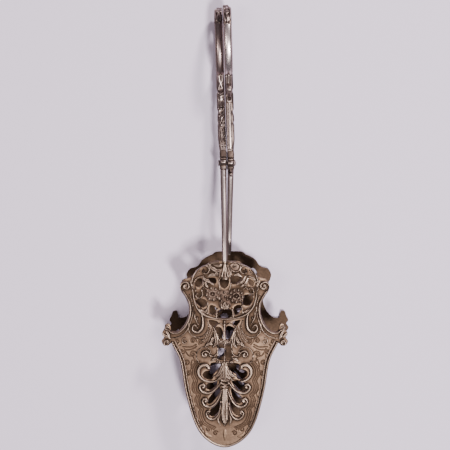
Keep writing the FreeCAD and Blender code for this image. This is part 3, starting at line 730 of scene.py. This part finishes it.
def palmette_relief():
    """The ribbed bud with its husk, the leaves over it and four pairs of ribs."""
    r = Relief()
    r.roll([(0, 37), (0, 13.2)], [1.3, 1.45, 1.6, 1.95, 2.4, 2.65, 2.6, 2, 0.5], 0.8, flat=0.35)
    for u in (-1.55, -0.78, 0, 0.78, 1.55):
        tail = 13.4 + abs(u) * 2
        r.roll([(u * 0.6, 34.6), (u * 0.95, 25), (u, 20), (u * 0.85, tail)], 0.42, 0.36, base=0.74)
    for v, half in ((39.2, 2.3), (37.3, 2.1), (35.4, 1.8)):
        r.roll([(-half, v + 0.7), (0, v), (half, v + 0.7)], 0.62, 1.15)
    r.leaf([(0, 39.2), (0, 44.6), (0, 49.8)], 1.9, 1.15)
    for r.side in (1, -1):
        r.leaf([(0.8, 49.6), (2.2, 45.6), (3.8, 42.8), (6.4, 41.9)], 1.35, 1.1)
        r.leaf([(0.6, 45), (2, 41.6), (4.2, 40.2)], 1.1, 1.05)
        r.leaf([(0.6, 41), (1.9, 38.8), (3.2, 36.2)], 0.8, 1)
        hook = curve([(8.9, 46.7), (9.7, 48.1), (12.2, 48.4), (14.3, 46.6), (14.7, 43.5), (13, 40.7),
                      (9.6, 39), (6, 39.1), (3.2, 40.6)])
        r.roll(hook, [1.1, 1.25, 1.3, 1.2, 1.05, 0.9, 0.8, 0.65, 0.4], 1.15, vein=0.12)
        r.bead((9.3, 46.9), 1.3, 1.15)
        lobe(r, [(1.6, 39.4), (3.8, 36.2), (6.6, 33.4), (9.6, 32.2), (12.6, 33), (14.1, 35.2)],
             [0.4, 0.7, 0.95, 1.05, 1.1, 1.05], (12.1, 35.9), 2.1)
        lobe(r, [(1.5, 34.6), (3, 30), (5.2, 26.2), (8.2, 24.2), (11.2, 24.9), (12.6, 27.2)],
             [0.4, 0.7, 0.95, 1, 1.05, 1], (10.8, 27.7), 1.85)
        lobe(r, [(2.2, 28), (2.8, 22.6), (4.2, 18.9), (6.8, 16.9), (9.4, 17.9), (10.5, 20)],
             [0.35, 0.6, 0.85, 0.95, 0.95, 0.9], (8.9, 20.6), 1.55)
        r.leaf([(2.6, 20.6), (3.6, 16.8), (2.6, 13.4)], 0.7, 0.8)
        for centre, radius in (((12.7, 44.9), 0.35), ((13.1, 35.6), 0.3), ((11.8, 27.3), 0.3)):
            r.dimple(centre, radius, 0.2)
    return r


def foot_relief():
    """The shank's end: a fluted flare that closes in a round drop."""
    r = Relief()
    line = curve([(0, 107.4), (0, 103.2), (0.1, 100.6), (0.2, 98.8)])
    r.roll(line, [1.42, 1.35, 1.55, 2.1], [0.95, 0.95, 0.85, 0.8], flat=0.2)
    for u in (-1.1, 0.1, 1.2):
        r.roll([(u * 0.35, 106), (u * 0.7, 102.6), (u * 1.5, 98.8)], [0.4, 0.5, 0.65], 0.42, base=0.76)
    r.bead((0.2, 97.5), (2.15, 1.35), 1.15)
    for r.side in (1, -1):
        r.leaf([(0.9, 103.6), (2.3, 101.4), (2.9, 98.6)], 0.75, 0.95)
    return r


def chased_field():
    """Fine work on the flat of the plate: low leaves and beads, and engraved lines."""
    raised, cut = Relief(), Relief()
    raised.leaf([(0, 10.4), (0.2, 8.2), (0, 4.8)], 0.8, 0.2)

    for side in (1, -1):
        cut.side = raised.side = side
        for gap in (1.5, 2.6, 3.6):
            contour = [(4.6 + gap * 0.5, 12.8 - gap * 0.6), (9.6 + gap * 0.8, 15.8 - gap * 0.5),
                       (11.2 + gap, 20.4), (10.8 + gap, 22.6), (12.8 + gap, 25), (13.2 + gap, 28.6),
                       (12.4 + gap, 30.8), (14.4 + gap, 33.2), (14.8 + gap, 36.6), (14 + gap, 39.2),
                       (15.4 + gap, 42.4), (15.2 + gap, 46.8), (12.6 + gap, 50.6)]
            cut.roll(contour, 0.34, 0.15)
        for centre, radius, start, turns in (
                ((9.4, 10.6), 1.7, 190, -1.3), ((13.6, 14), 1.4, 20, 1.3), ((5.4, 8.4), 1.5, 150, -1.2),
                ((20.3, 43.4), 1.9, 210, -1.5), ((21.2, 49.6), 2.2, -40, 1.4),
                ((18, 54.6), 2.3, 200, -1.5), ((23.6, 55.6), 2, -60, 1.5),
                ((17.8, 62.4), 1.9, 200, -1.6), ((26.6, 61.6), 1.7, -40, 1.3),
                ((13.6, 61.6), 1.6, -60, 1.5)):
            cut.roll(spiral(centre, radius, 0.5, start, turns), [0.34, 0.3, 0.26], 0.15)
            raised.bead(centre, 0.42, 0.16)
        for line in ([(17.2, 50.2), (17.8, 53), (20.6, 54), (22.8, 57.8)],
                     [(12.6, 63.2), (14.2, 63), (15.6, 64)], [(16, 60.2), (18.8, 58.8), (23.6, 58.9)],
                     [(15.8, 59), (18.6, 57.4), (22.2, 57)], [(24.6, 60), (27, 58.6), (27.4, 56.6)],
                     [(18.8, 46.2), (19, 48.6), (18.2, 51.4)], [(19.6, 28.4), (20.6, 33), (20.4, 37.4)],
                     [(17, 20), (18.4, 24.4), (18.2, 27.6)], [(22.6, 40.6), (22.8, 44.4), (23.6, 48)]):
            cut.roll(line, 0.32, 0.15)
        for leaf in ([(19, 29.6), (18.6, 31.8), (19.2, 34)], [(20.6, 37.2), (21, 39.6), (20.4, 41.2)],
                     [(23, 51.4), (23.6, 53.2), (22.8, 54.6)], [(17.2, 23.6), (17.2, 25.8), (18, 27.6)],
                     [(25.4, 58), (26, 59.4), (25.4, 61)], [(7.6, 6.6), (9.8, 7.4), (11.6, 9.6)]):
            raised.leaf(leaf, 0.7, 0.24)
    return raised, cut


def blade_reliefs():
    """All castings of one blade, with the plate's outline, top, and tarnish with painted shade on the same
    grid.
    """
    reliefs = {"rim_moulding": rim_relief(),
               "side_scroll_right": side_relief(1), "side_scroll_left": side_relief(-1),
               "crest_scroll_right": crest_relief(1), "crest_scroll_left": crest_relief(-1),
               "flower_medallion": medallion_relief(), "pedestal": pedestal_relief(),
               "palmette": palmette_relief(), "shank_foot": foot_relief()}
    within = inside(outline(), US[None, :], VS[:, None])
    pierced = np.full((NV, NU), FAR_OUTSIDE)
    for hole in holes():
        part, uu, vv = window(hole, 1.2)
        pierced[part] = np.maximum(pierced[part], inside(hole, uu, vv))
    plate_edge = np.minimum(within, -pierced)
    ornament = np.zeros((NV, NU))
    for relief in reliefs.values():
        relief.edge = np.minimum(relief.edge, np.minimum(within - 0.02, -pierced + OVERHANG))
        relief.height = np.minimum(relief.height, RELIEF)
        ornament = np.maximum(ornament, np.where(relief.edge > 0, relief.height, 0))

    # Tarnish and painted shade darken where the surface lies below its surroundings, and the plate is
    # darker in an oval behind the flowers.
    surface = np.where((plate_edge > 0) | (ornament > 0), ornament, OPENING_DEPTH)
    around = 0.6 * blur(np.where(within > 0, surface, 0.2), 0.7) + 0.4 * blur(surface, 1.8)
    ground = np.hypot(US[None, :] / GROUND_HALF[0], (VS[:, None] - GROUND_V) / GROUND_HALF[1])
    patina_and_shade = TARNISH_AND_SHADE_GAIN * (around - surface) + LEVEL_RECESS + 0.24 * unit((1.02 - ground) / 0.12)

    raised, cut = chased_field()
    chased = np.where(ornament > 0.02, 0, raised.height - cut.height)
    bevel = BEVEL * (1 - unit(plate_edge / BEVEL_WIDTH)) ** 2
    patina_and_shade = patina_and_shade - np.where(chased > 0, 1.1, 2.6) * chased
    return reliefs, plate_edge, PLATE - bevel + chased, unit(patina_and_shade)


def build_blades():
    reliefs, plate_edge, plate_top, patina_and_shade = blade_reliefs()
    for prefix, upper in ARMS:
        arm, place = prefix + "arm", blade_place(upper)
        plate = sheet_mesh(prefix + "plate_mesh", plate_edge, plate_top, 0.0, PLATE - BEVEL, patina_and_shade,
                           place)
        finish_piece(plate, prefix + "pierced_plate", arm, "silver_tarnished", PLATE_SILVER,
                     prefix + "blade_plate")
        for name, relief in reliefs.items():
            mesh = sheet_mesh(prefix + name + "_mesh", relief.edge, PLATE + relief.height,
                              PLATE - SUNK, PLATE, patina_and_shade, place)
            finish_piece(mesh, prefix + name + "_cast", arm, "silver_tarnished", BLADE_SILVER,
                         prefix + name)


# ---- Handle ----
# Drawn like the frame's arm: pivot at the origin, y along the arm, x across it with the inner
# face at INNER_FACE, and z towards the side that faces the other ring.

INNER_FACE = -0.06
RING_CENTRE, RING_A, RING_B = 66.0, 18.7, 10.97      # the oval's middle and half axes
RING_WIDTH, BAND = 4.6, 2.2                          # the band's width and thickness
STEM_START, STEM_END, STEM_MIDDLE, STEM_HALF = 3.2, 48.9, -2.36, 2.30
CREST_HALF, CREST_ANGLE = 2.2, math.radians(60)
SCREW_HEAD_X, SCREW_HEAD_RADIUS, SLOT_DEPTH = -4.1, 1.72, 0.42
HUB_RADIUS, HUB_BACK, BORE, NECK_END = 4.6, -4.0, 1.25, 7.2


def lift(along, across, elements):
    """Height over a narrow face of rolls, beads and (with a minus height) grooves."""
    total, sunk = np.zeros(along.shape), np.zeros(along.shape)
    for line, radius, height in elements:
        line = np.atleast_2d(np.array(line, float))
        best = np.full(along.shape, 9.0)
        for (u, v), size in zip(line, along_line(radius, len(line))):
            best = np.minimum(best, np.hypot(along - u, across - v) / size)
        shape = np.sqrt(unit(1 - best ** 2))
        if height > 0:
            total = np.maximum(total, height * shape)
        else:
            sunk = np.minimum(sunk, height * shape ** 1.5)
    return total + sunk


def crevice(height, width=(5, 3)):
    """How far each point lies below its surroundings on a grid of rows and columns."""
    around = height.copy()
    for axis, reach in enumerate(width):
        around = sum(np.roll(around, k, axis) for k in range(-reach, reach + 1)) / (2 * reach + 1)
    return unit(0.26 + 0.9 * (around - height) / 0.3)


def oval(t):
    """Points and outward normals of the ring's outer line, t in radians from the far end."""
    point = np.stack([RING_CENTRE + RING_A * np.cos(t), RING_B * np.sin(t)], -1)
    normal = np.stack([np.cos(t) / RING_A, np.sin(t) / RING_B], -1)
    return point, normal / np.linalg.norm(normal, axis=-1)[..., None]


def end_taper(degrees):
    """The oval's ends are narrower than its sides. degrees is the angle from that end."""
    return 1 - 0.34 * hump(degrees, 0, 13.0)[:, None]


def beside(field, *columns):
    """The field with further columns, the same in every row."""
    return np.hstack([field, np.tile(np.concatenate(columns), (len(field), 1))])


def ring_mesh(name, place):
    """A shallow dome between two fine fillets. The dome runs out under the crest."""
    t = np.linspace(0, 2 * math.pi, 220, endpoint=False)
    face = np.linspace(-0.93, 0.985, 43)
    inner = np.linspace(0.80, -0.80, 11)
    from_stem = np.degrees(np.abs(t - math.pi))
    dome_half = 0.70 * np.clip((180 - from_stem) / 48, 0.02, 1)[:, None] ** 0.6
    edge = np.abs(face) - dome_half
    q = 0.42 * np.sqrt(unit(1 - (face / dome_half) ** 2)) - 0.42
    q = q + 0.26 * hump(edge, 0.10, 0.055) - 0.16 * hump(edge, 0, 0.035)
    q = q - 0.55 * unit((-face - 0.80) / 0.13) ** 2 - 0.06 * unit((face - 0.88) / 0.11) ** 2
    q = beside(q, [-1.25, -1.6], -BAND + 0.25 * inner ** 2, [-1.6, -1.25])
    # Painted shade: the band's two sides, its inside, the rounded corner away from the other arm and the
    # flats beside the dome are darker; the dark line at the dome's edge is tarnish in its groove.
    shade = 0.10 + 0.65 * hump(edge, 0, 0.05) + 0.3 * (edge > 0.17)
    shade = shade + 0.35 * unit((-face - 0.84) / 0.08)
    shade = beside(shade, [0.92, 0.92], np.full(len(inner), 0.62), [0.92, 0.92])
    share = np.concatenate([face, [1.0, 1.0], inner, [-1.0, -1.0]])
    across = INNER_FACE - RING_WIDTH / 2 * (1 - share) * end_taper(from_stem)
    return skin(name, swept(across, *oval(t), q), shade, place, joined=True)


def crest_mesh(name, place):
    """Cap, open scroll and pointed leaf, the same on both sides of the ring's far end."""
    t = np.linspace(-CREST_ANGLE, CREST_ANGLE, 150)
    point, normal = oval(t)
    s = np.concatenate([[0], np.cumsum(np.linalg.norm(np.diff(point, axis=0), axis=1))])
    s = s - s[-1] / 2
    across = np.linspace(-CREST_HALF, CREST_HALF, 31)
    elements = [([(0, -1.2), (0, 1.2)], 2.0, 0.62)]
    for side in (1, -1):
        for edge in (1, -1):
            leaf_edge = curve([(side * 5.6, edge * 1.9), (side * 9.0, edge * 1.75),
                               (side * 12.6, edge * 1.0)])
            elements += [([(side * 4.6, edge * 1.5)], 0.75, 0.5), (leaf_edge, 0.42, 0.4)]
        leaf = curve([(side * 8.6, 0.2), (side * 10.6, -0.1), (side * 14.2, 0)])
        elements += [(spiral((side * 7.0, 0), 1.35, 0.35, 90, 1.4), 0.45, 0.6),
                     (leaf, [0.6, 1.1, 0.9, 0.25], 0.55),
                     (curve([(side * 9.0, 0), (side * 13.6, 0)]), 0.16, -0.25),
                     ([(side * 2.9, 0)], 0.75, -0.4)]
    ss, aa = np.meshgrid(s, across, indexing="ij")
    height = lift(ss, aa, elements)
    fade = unit((s[-1] - np.abs(s)) / 1.2)[:, None] ** 0.5
    round_side = 0.5 * unit((np.abs(across) - 1.7) / 0.4) ** 2
    q = beside((height * 0.98 + 0.02) * fade - round_side, [-0.9, -0.9])
    # Tarnish in the hollows, with painted shade along the outer edges and on the sides.
    patina_and_shade = beside(crevice(height) + 0.15 * (np.abs(aa) > 1.8), [0.7, 0.7])
    from_inner = CREST_HALF - np.concatenate([across, [1.9, -1.9]])
    x = INNER_FACE - 0.06 - from_inner * end_taper(np.degrees(np.abs(t)))
    return skin(name, swept(x, point, normal, q), unit(patina_and_shade), place)


STEM_INNER = [(3.2, 2), (14, 1.9), (22, 2.3), (30, 1.7), (34.5, 1.5), (37.4, 2.3), (40.2, 1.6), (44, 2.5),
              (48.9, 4)]
STEM_OUTER = [(3.2, 2), (16, 2.3), (26, 1.8), (34.5, 1.4), (37.4, 2.1), (40.2, 1.6), (44, 2.5), (48.9, 4)]


def inner_ornament():
    """Leaves, bead, panel and knops of the face turned to the other ring."""
    items = [(curve([(47.6, -1), (44, -0.2), (41.4, 0.9), (39, 0.2)]), [0.9, 0.8, 0.6, 0.3], 0.5),
             (curve([(47.6, 1.1), (45, 0.9), (42.8, -0.4), (40.4, -1.1)]), [0.8, 0.7, 0.6, 0.3], 0.45),
             ([(38.2, 0)], 0.75, 0.55),
             (curve([(36.6, 0), (31.6, 0)]), [0.8, 1.15, 1.2, 1.15, 0.7], 0.35),
             (curve([(33.4, 0.1), (31.2, 0.1)]), 0.55, 0.5),
             ([(28.2, 0)], 1.1, -0.35), ([(24.8, 0)], 1.15, 0.7), ([(23.2, 0)], 0.6, 0.5),
             ([(20.9, 0)], 0.75, 0.5),
             (curve([(18.6, 0), (15.2, 0.1), (12, 0)]), [0.35, 0.8, 0.35], 0.5)]
    for y, half, radius, height in ((30.2, 1.3, 0.55, 0.45), (22.2, 1.4, 0.45, -0.3),
                                    (10.2, 1.5, 0.4, 0.35), (9.2, 1.6, 0.4, -0.35)):
        items.append(([(y, -half), (y, 0), (y, half)], radius, height))
    for edge in (1, -1):
        beading = curve([(19.6, edge * 1), (15, edge * 1.15), (11.6, edge * 0.95)])
        items += [([(26, edge * 1)], 0.6, 0.5), ([(38.6, edge * 1.2)], 0.55, 0.4),
                  (curve([(36.2, edge * 1.45), (31.4, edge * 1.5)]), 0.3, 0.3),
                  (beading, 0.3, 0.35)]
    return items + [([(19.9 - 0.95 * k, 1.86)], 0.4, 0.34) for k in range(10)]


def outer_ornament():
    """Leaf, bead and loop over the long plain taper."""
    items = [(curve([(48, 0), (44, 0.2), (40.2, 0)]), [0.9, 0.95, 0.7, 0.35], 0.55),
             ([(38.5, 0)], 0.8, 0.65),
             (curve([(33.9, -1.15), (36.4, -1), (37.3, 0), (36.4, 1), (33.9, 1.15)]), 0.36, 0.5),
             ([(35.9, 0), (34.9, 0)], 0.62, -0.45),
             (curve([(33.2, 0), (8.4, 0.3)]), [0.5, 0.8, 0.9, 0.9, 0.8], 0.22),
             ([(7.6, -1.5), (7.6, 0), (7.6, 1.5)], 0.4, -0.25)]
    for edge in (1, -1):
        leaf_edge = curve([(47.6, edge * 1.4), (43.6, edge * 1.2), (39.6, edge * 1.3)])
        items += [(leaf_edge, [0.7, 0.6, 0.3], 0.4), ([(38.9, edge * 1.3)], 0.5, 0.4),
                  (curve([(32.8, edge * 1.55), (9, edge * 1.6)]), 0.22, 0.16)]
    return items


def smooth_at(points, where):
    """The height of a smooth profile at some places along it."""
    line = curve(points, step=0.1)
    return np.interp(where, line[:, 0], line[:, 1])


def stem_mesh(name, place):
    """The section is square on the side of the other arm and rounded on the far side."""
    y = np.linspace(STEM_START, STEM_END, 300)
    across = np.concatenate([[-1.0, -0.985], np.linspace(-0.96, 0.955, 34),
                             [0.98, 0.995, 1.0]])
    power = np.where(across > 0, 9.0, 2.6)
    cap = (1 - np.abs(across) ** power) ** (1 / power)
    flat = unit(cap * 1.3 - 0.2)[None, :]
    waist = 0.10 * hump(y, 39.6, 1.2) + 0.12 * hump(y, 28.2, 1.3) + 0.07 * hump(y, 22.2, 0.8)
    waist = waist + 0.14 * unit((13.0 - y) / 5.8)
    x = STEM_HALF * (1 - (1 - across[None, :]) * (1 - waist[:, None]))
    yy = np.repeat(y[:, None], len(across), 1)
    clear_of_hub = 0.16 * unit((9.5 - yy) / 1.5)
    x = np.minimum(x, STEM_HALF - clear_of_hub)
    faces, shades = [], []
    for profile, ornament, way in ((STEM_INNER, inner_ornament, 1), (STEM_OUTER, outer_ornament, -1)):
        height = lift(yy, x, ornament()) * flat
        z = way * (smooth_at(profile, y)[:, None] * cap + (height - 0.18) * flat)
        faces.append(np.stack([STEM_MIDDLE + x, yy, z], -1))
        # Tarnish in the hollows; on the plain taper a painted highlight down the middle with painted shade
        # towards its edges, and painted shade towards the sides.
        shade = unit(crevice(height, (4, 3)) - 0.05)
        if way < 0:
            plain = unit((33 - yy) / 2)
            shade = shade * (1 - 0.5 * plain) + 0.34 * np.abs(across[None, :]) ** 1.4
        shades.append(unit(shade + 0.7 * (1 - cap[None, :]) ** 1.5))
    grid, patina_and_shade = (np.concatenate([a, b[:, -2:0:-1]], 1) for a, b in (faces, shades))
    return skin(name, grid, patina_and_shade, place)


def soft_square(count, power_across, power_out):
    """A ring of points between a circle (powers of 1) and a square (powers near 0)."""
    angle = np.linspace(0, 2 * math.pi, count, endpoint=False)
    x, q = np.cos(angle), np.sin(angle)
    return np.sign(x) * np.abs(x) ** power_across, np.sign(q) * np.abs(q) ** power_out


def stem_scroll_mesh(name, place):
    """A rounded bar that curls up beside the stem."""
    path = np.vstack([curve([(36.9, -2.2), (38.0, -3.4), (39.4, -5.0)])[:-1],
                      spiral((41.2, -3.6), 2.0, 1.55, 215, 0.92)])
    widths = along_line([1.6, 2.4, 2.9, 2.9, 2.6], len(path))[:, None]
    thicks = along_line([0.9, 1.1, 1.0, 0.9, 0.7], len(path))[:, None]
    x, q = soft_square(20, 0.5, 0.8)
    # Painted shade on the bar's sides.
    shade = np.tile(0.25 + 0.35 * (np.abs(q) < 0.35), (len(path), 1))
    grid = swept(STEM_MIDDLE + widths / 2 * x, path, left_of(path), thicks / 2 * q)
    return skin(name, grid, shade, place)


def hub_mesh(name, place):
    """Round hub with a neck, bored through, with mouldings across its top and bottom."""
    t = np.radians(np.concatenate([np.linspace(-38, 38, 90),
                                   np.linspace(38, 322, 150)[1:-1]]))
    neck = np.minimum(NECK_END / np.maximum(np.cos(t), 1e-3), 2.35 / np.maximum(np.abs(np.sin(t)), 1e-3))
    radius = np.full(t.shape, HUB_RADIUS - 0.35)
    radius = np.where(np.cos(t) > 0, np.maximum(radius, neck), radius)
    y = HUB_RADIUS * np.cos(t)
    collar = hump(y, 0.8, 0.95, 4)
    rings = 0.34 * hump(y, -3.7, 0.5) + 0.26 * hump(y, 3.1, 0.42)
    groove = hump(y, 2.2, 0.35)
    moulding = 0.35 * collar + rings - 0.42 * hump(y, -1.7, 1.0) - 0.25 * groove
    radius = radius + moulding * unit(np.abs(np.sin(t)) * 1.3)
    # Tarnish in the groove and the sunk band; a painted highlight on the collar, and darker towards the
    # neck.
    dark = 0.30 + 0.5 * groove + 0.3 * hump(y, -1.7, 0.9) - 0.25 * collar + 0.35 * (np.cos(t) > 0.62)
    middle, half = (INNER_FACE + HUB_BACK) / 2, (INNER_FACE - HUB_BACK) / 2
    right = [(0.0, 1.0), (0.3, 0.995), (0.58, 0.97), (0.82, 0.915), (0.95, 0.83), (1.0, 0.72),
             (1.0, 0.0)]
    rim = right[::-1] + [(-x, share) for x, share in right[1:]]
    grid, shade = np.zeros((len(t), len(rim), 3)), np.zeros((len(t), len(rim)))
    for j, (x, share) in enumerate(rim):
        reach = BORE + (radius - BORE) * share
        grid[:, j] = np.column_stack([np.full(len(t), middle + half * x), reach * np.cos(t),
                                      reach * np.sin(t)])
        # Painted shade on the hub's flat faces.
        shade[:, j] = 0.7 if abs(x) > 0.9 else dark
    return skin(name, grid, unit(shade), place, joined=True)


def turned(name, profile, patina_and_shade, place, about_y=False):
    """A solid of revolution about x, or about y, from (along, radius) points."""
    line = curve(profile, step=0.12)
    around = 48
    t = np.linspace(0, 2 * math.pi, around, endpoint=False)
    radius = np.maximum(line[:, 1:], 0.005)
    along = np.repeat(line[:, :1], around, 1)
    first, second = radius * np.cos(t), radius * np.sin(t)
    grid = np.stack([first, along, second] if about_y else [along, first, second], -1)
    return skin(name, grid, np.repeat(np.interp(line[:, :1], *patina_and_shade), around, 1), place)


def drop_mesh(name, place):
    """The small drop under the hub."""
    profile = [(-7.2, 0), (-7.05, 0.55), (-6.4, 1.28), (-5.7, 1.48), (-5, 1.15), (-4.65, 0.85),
               (-4.45, 1.05), (-4.15, 1.2), (-3.9, 0.95), (-3.4, 0.95), (-2.6, 1.05)]
    patina_and_shade = [-7.2, -5.6, -4.65, -4.15, -3.6], [0.3, 0.1, 0.9, 0.2, 0.6]
    return turned(name, profile, patina_and_shade, lambda p: place(p + np.array([-2.1, 0, -2.4])), about_y=True)


def shank_mesh(name, place, punched):
    """The slender bar to the blade, with plain punch dents on its outer side if punched."""
    line = curve([(-2.8, 0.9), (-14, 4.3), (-28, 9.2), (-40, 12.9), (-47.5, 14.2), (-52.4, 14.9),
                  (-54.6, 15.15)], step=0.4)
    y = line[:, :1]
    share = unit((-2.8 - y) / 49.6)
    waist = 1.0 - 0.05 * hump(y, -7.5, 0.5)
    normal = left_of(line)
    normal = normal * np.sign(normal[:, 1:])
    x, z = soft_square(40, 0.85, 0.95)
    sx = (3.5 - 0.7 * share) / 2 * waist * x
    sz = (2.6 - 0.7 * share) / 2 * waist * z
    dent = np.zeros(sx.shape)
    for mark in (-11.9, -19.6, -23.9, -27.5) if punched else ():
        dent += hump(y, mark, 0.62, 4) * hump(sz, 0.35, 0.42, 4) * (sx < 0)
    # Painted shade towards the bar's sides leaves a narrow painted highlight down its middle; tarnish in
    # the punch dents.
    patina_and_shade = 0.26 + 0.55 * np.abs(x) ** (2.2 / 0.85) + 0.75 * dent
    grid = swept(-2.1 + 0.9 * share + sx + 0.34 * dent, line, normal, sz)
    return skin(name, grid, unit(patina_and_shade), place)


def build_pivot():
    """The screw with its slotted dome, and the round nut."""

    def place(p):
        return p + PIVOT

    def head_place(p):
        return np.column_stack([SCREW_HEAD_X - p[:, 2], p[:, 0], p[:, 1]]) + PIVOT

    reach = np.arange(-1.96, 1.97, 0.07)
    zz, yy = np.meshgrid(reach, reach, indexing="ij")
    away = np.hypot(yy, zz)
    dome = 0.45 + 0.55 * np.sqrt(unit(1 - (away / 1.8) ** 2))
    slot = SLOT_DEPTH * unit((0.28 - np.abs(yy)) / 0.07)
    patina_and_shade = unit(0.2 + 1.6 * slot + 0.5 * (away > 1.6))
    head = sheet_mesh("screw_head_mesh", SCREW_HEAD_RADIUS - away, dome - slot, 0.0, 0.42, patina_and_shade,
                      head_place, reach, reach)
    pin_profile = [(-4.4, 0.02), (-4.4, 1.0), (-4.2, 1.1), (-3.0, 1.12), (3.4, 1.12), (4.1, 1.1),
                   (4.2, 0.02)]
    pin = turned("pivot_pin_mesh", pin_profile, ([-4, 4], [0.5, 0.5]), place)
    nut_profile = [(4.0, 0.02), (4.0, 1.6), (4.12, 1.74), (4.4, 1.74), (4.58, 1.5), (4.7, 1.3),
                   (4.95, 0.9), (5.0, 0.02)]
    nut = turned("nut_mesh", nut_profile, ([4.0, 4.3, 4.6, 5.0], [0.6, 0.2, 0.6, 0.2]), place)
    for mesh, name, *node in ((pin, "pivot_pin", "pivot_screw"), (head, "slotted_head"),
                              (nut, "domed_nut", "pivot_nut")):
        finish_piece(mesh, name, "lower_arm", "silver_bright", BRIGHT_SILVER, *node)


def build_handles():
    for prefix, upper in ARMS:
        def piece(mesh, name, slot, material, node):
            finish_piece(mesh, prefix + name, prefix + "arm", slot, material, prefix + node)

        leaning = handle_place(upper, -RING_TILT, HANDLE_LEAN)
        upright = handle_place(upper, -RING_TILT)
        # The upper arm's ring takes the darker copy: painted shade with duller tarnish.
        piece(ring_mesh(prefix + "ring_mesh", leaning), "polished_ring", "silver_bright",
              DULL_SHADED_SILVER if upper else BRIGHT_SILVER, "finger_ring")
        for make, mesh_name, place, name, node in (
                (crest_mesh, "crest_mesh", leaning, "cast_crest", "ring_crest"),
                (stem_mesh, "stem_mesh", leaning, "cast_stem", "stem"),
                (stem_scroll_mesh, "scroll_mesh", leaning, "open_scroll", "stem_scroll"),
                (hub_mesh, "hub_mesh", upright, "moulded_hub", "joint_block"),
                (drop_mesh, "drop_mesh", upright, "turned_drop", "drop_finial")):
            piece(make(prefix + mesh_name, place), name, "silver_cast", CAST_SILVER, node)
        piece(shank_mesh(prefix + "shank_mesh", handle_place(upper), punched=upper), "drawn_shank",
              "silver_bright", BRIGHT_SILVER, "shank")
    build_pivot()


build_blades()
build_handles()


# ---- Floor, light and camera ----

FLOOR_REACH = 3.0
CAMERA_X, CAMERA_BEYOND_PIVOT, CAMERA_HEIGHT = -1.1, 37.4, 500.0
CAMERA_TILT = math.radians(-8.5)


def build_floor():
    corners = [(x * FLOOR_REACH, y * FLOOR_REACH, 0) for x, y in ((-1, -1), (1, -1), (1, 1), (-1, 1))]
    mesh = bpy.data.meshes.new("floor")
    mesh.from_pydata(corners, [], [(0, 1, 2, 3)])
    floor = bpy.data.objects.new("floor", mesh)
    bpy.context.scene.collection.objects.link(floor)
    material = bpy.data.materials.new("floor_paper")
    material.use_nodes = True
    shader = material.node_tree.nodes["Principled BSDF"]
    shader.inputs["Base Color"].default_value = (0.70, 0.605, 0.71, 1)
    shader.inputs["Roughness"].default_value = 0.9
    mesh.materials.append(material)


def area(name, place, target, size, power, colour):
    data = bpy.data.lights.new(name, "AREA")
    data.shape = "RECTANGLE"
    data.size, data.size_y = size
    data.energy = power
    data.color = colour
    lamp = bpy.data.objects.new(name, data)
    bpy.context.scene.collection.objects.link(lamp)
    lamp.location = place
    lamp.rotation_euler = (Vector(target) - Vector(place)).to_track_quat("-Z", "Y").to_euler()


def build_lights():
    world = bpy.data.worlds.new("studio")
    bpy.context.scene.world = world
    world.use_nodes = True
    background = world.node_tree.nodes["Background"]
    background.inputs["Color"].default_value = (0.90, 0.86, 1.0, 1)
    background.inputs["Strength"].default_value = 0.26
    area("window", (0.26, -0.29, 1.11), (0, 0, 0), (0.10, 0.20), 18.6, (0.97, 0.96, 1.0))
    area("fill", (-0.36, 0.04, 1.06), (0, 0, 0), (0.12, 0.3), 2.8, (1.0, 0.92, 0.90))
    area("far", (0.50, 0.95, 0.95), (0, 0.03, 0), (0.16, 0.2), 19.0, (1.0, 0.95, 0.99))
    area("near", (0.03, -0.73, 1.00), (0, 0, 0), (0.16, 0.14), 0.6, (1.0, 0.96, 0.95))


def build_camera():
    camera_data = bpy.data.cameras.new("camera")
    camera = bpy.data.objects.new("camera", camera_data)
    bpy.context.scene.collection.objects.link(camera)
    camera_data.sensor_width = 36.0
    camera_data.lens = 69.6
    camera.location = (CAMERA_X * MM, (PIVOT_Y + CAMERA_BEYOND_PIVOT) * MM, CAMERA_HEIGHT * MM)
    camera.rotation_euler = (CAMERA_TILT, 0, 0)
    bpy.context.scene.camera = camera


build_floor()
build_lights()
build_camera()
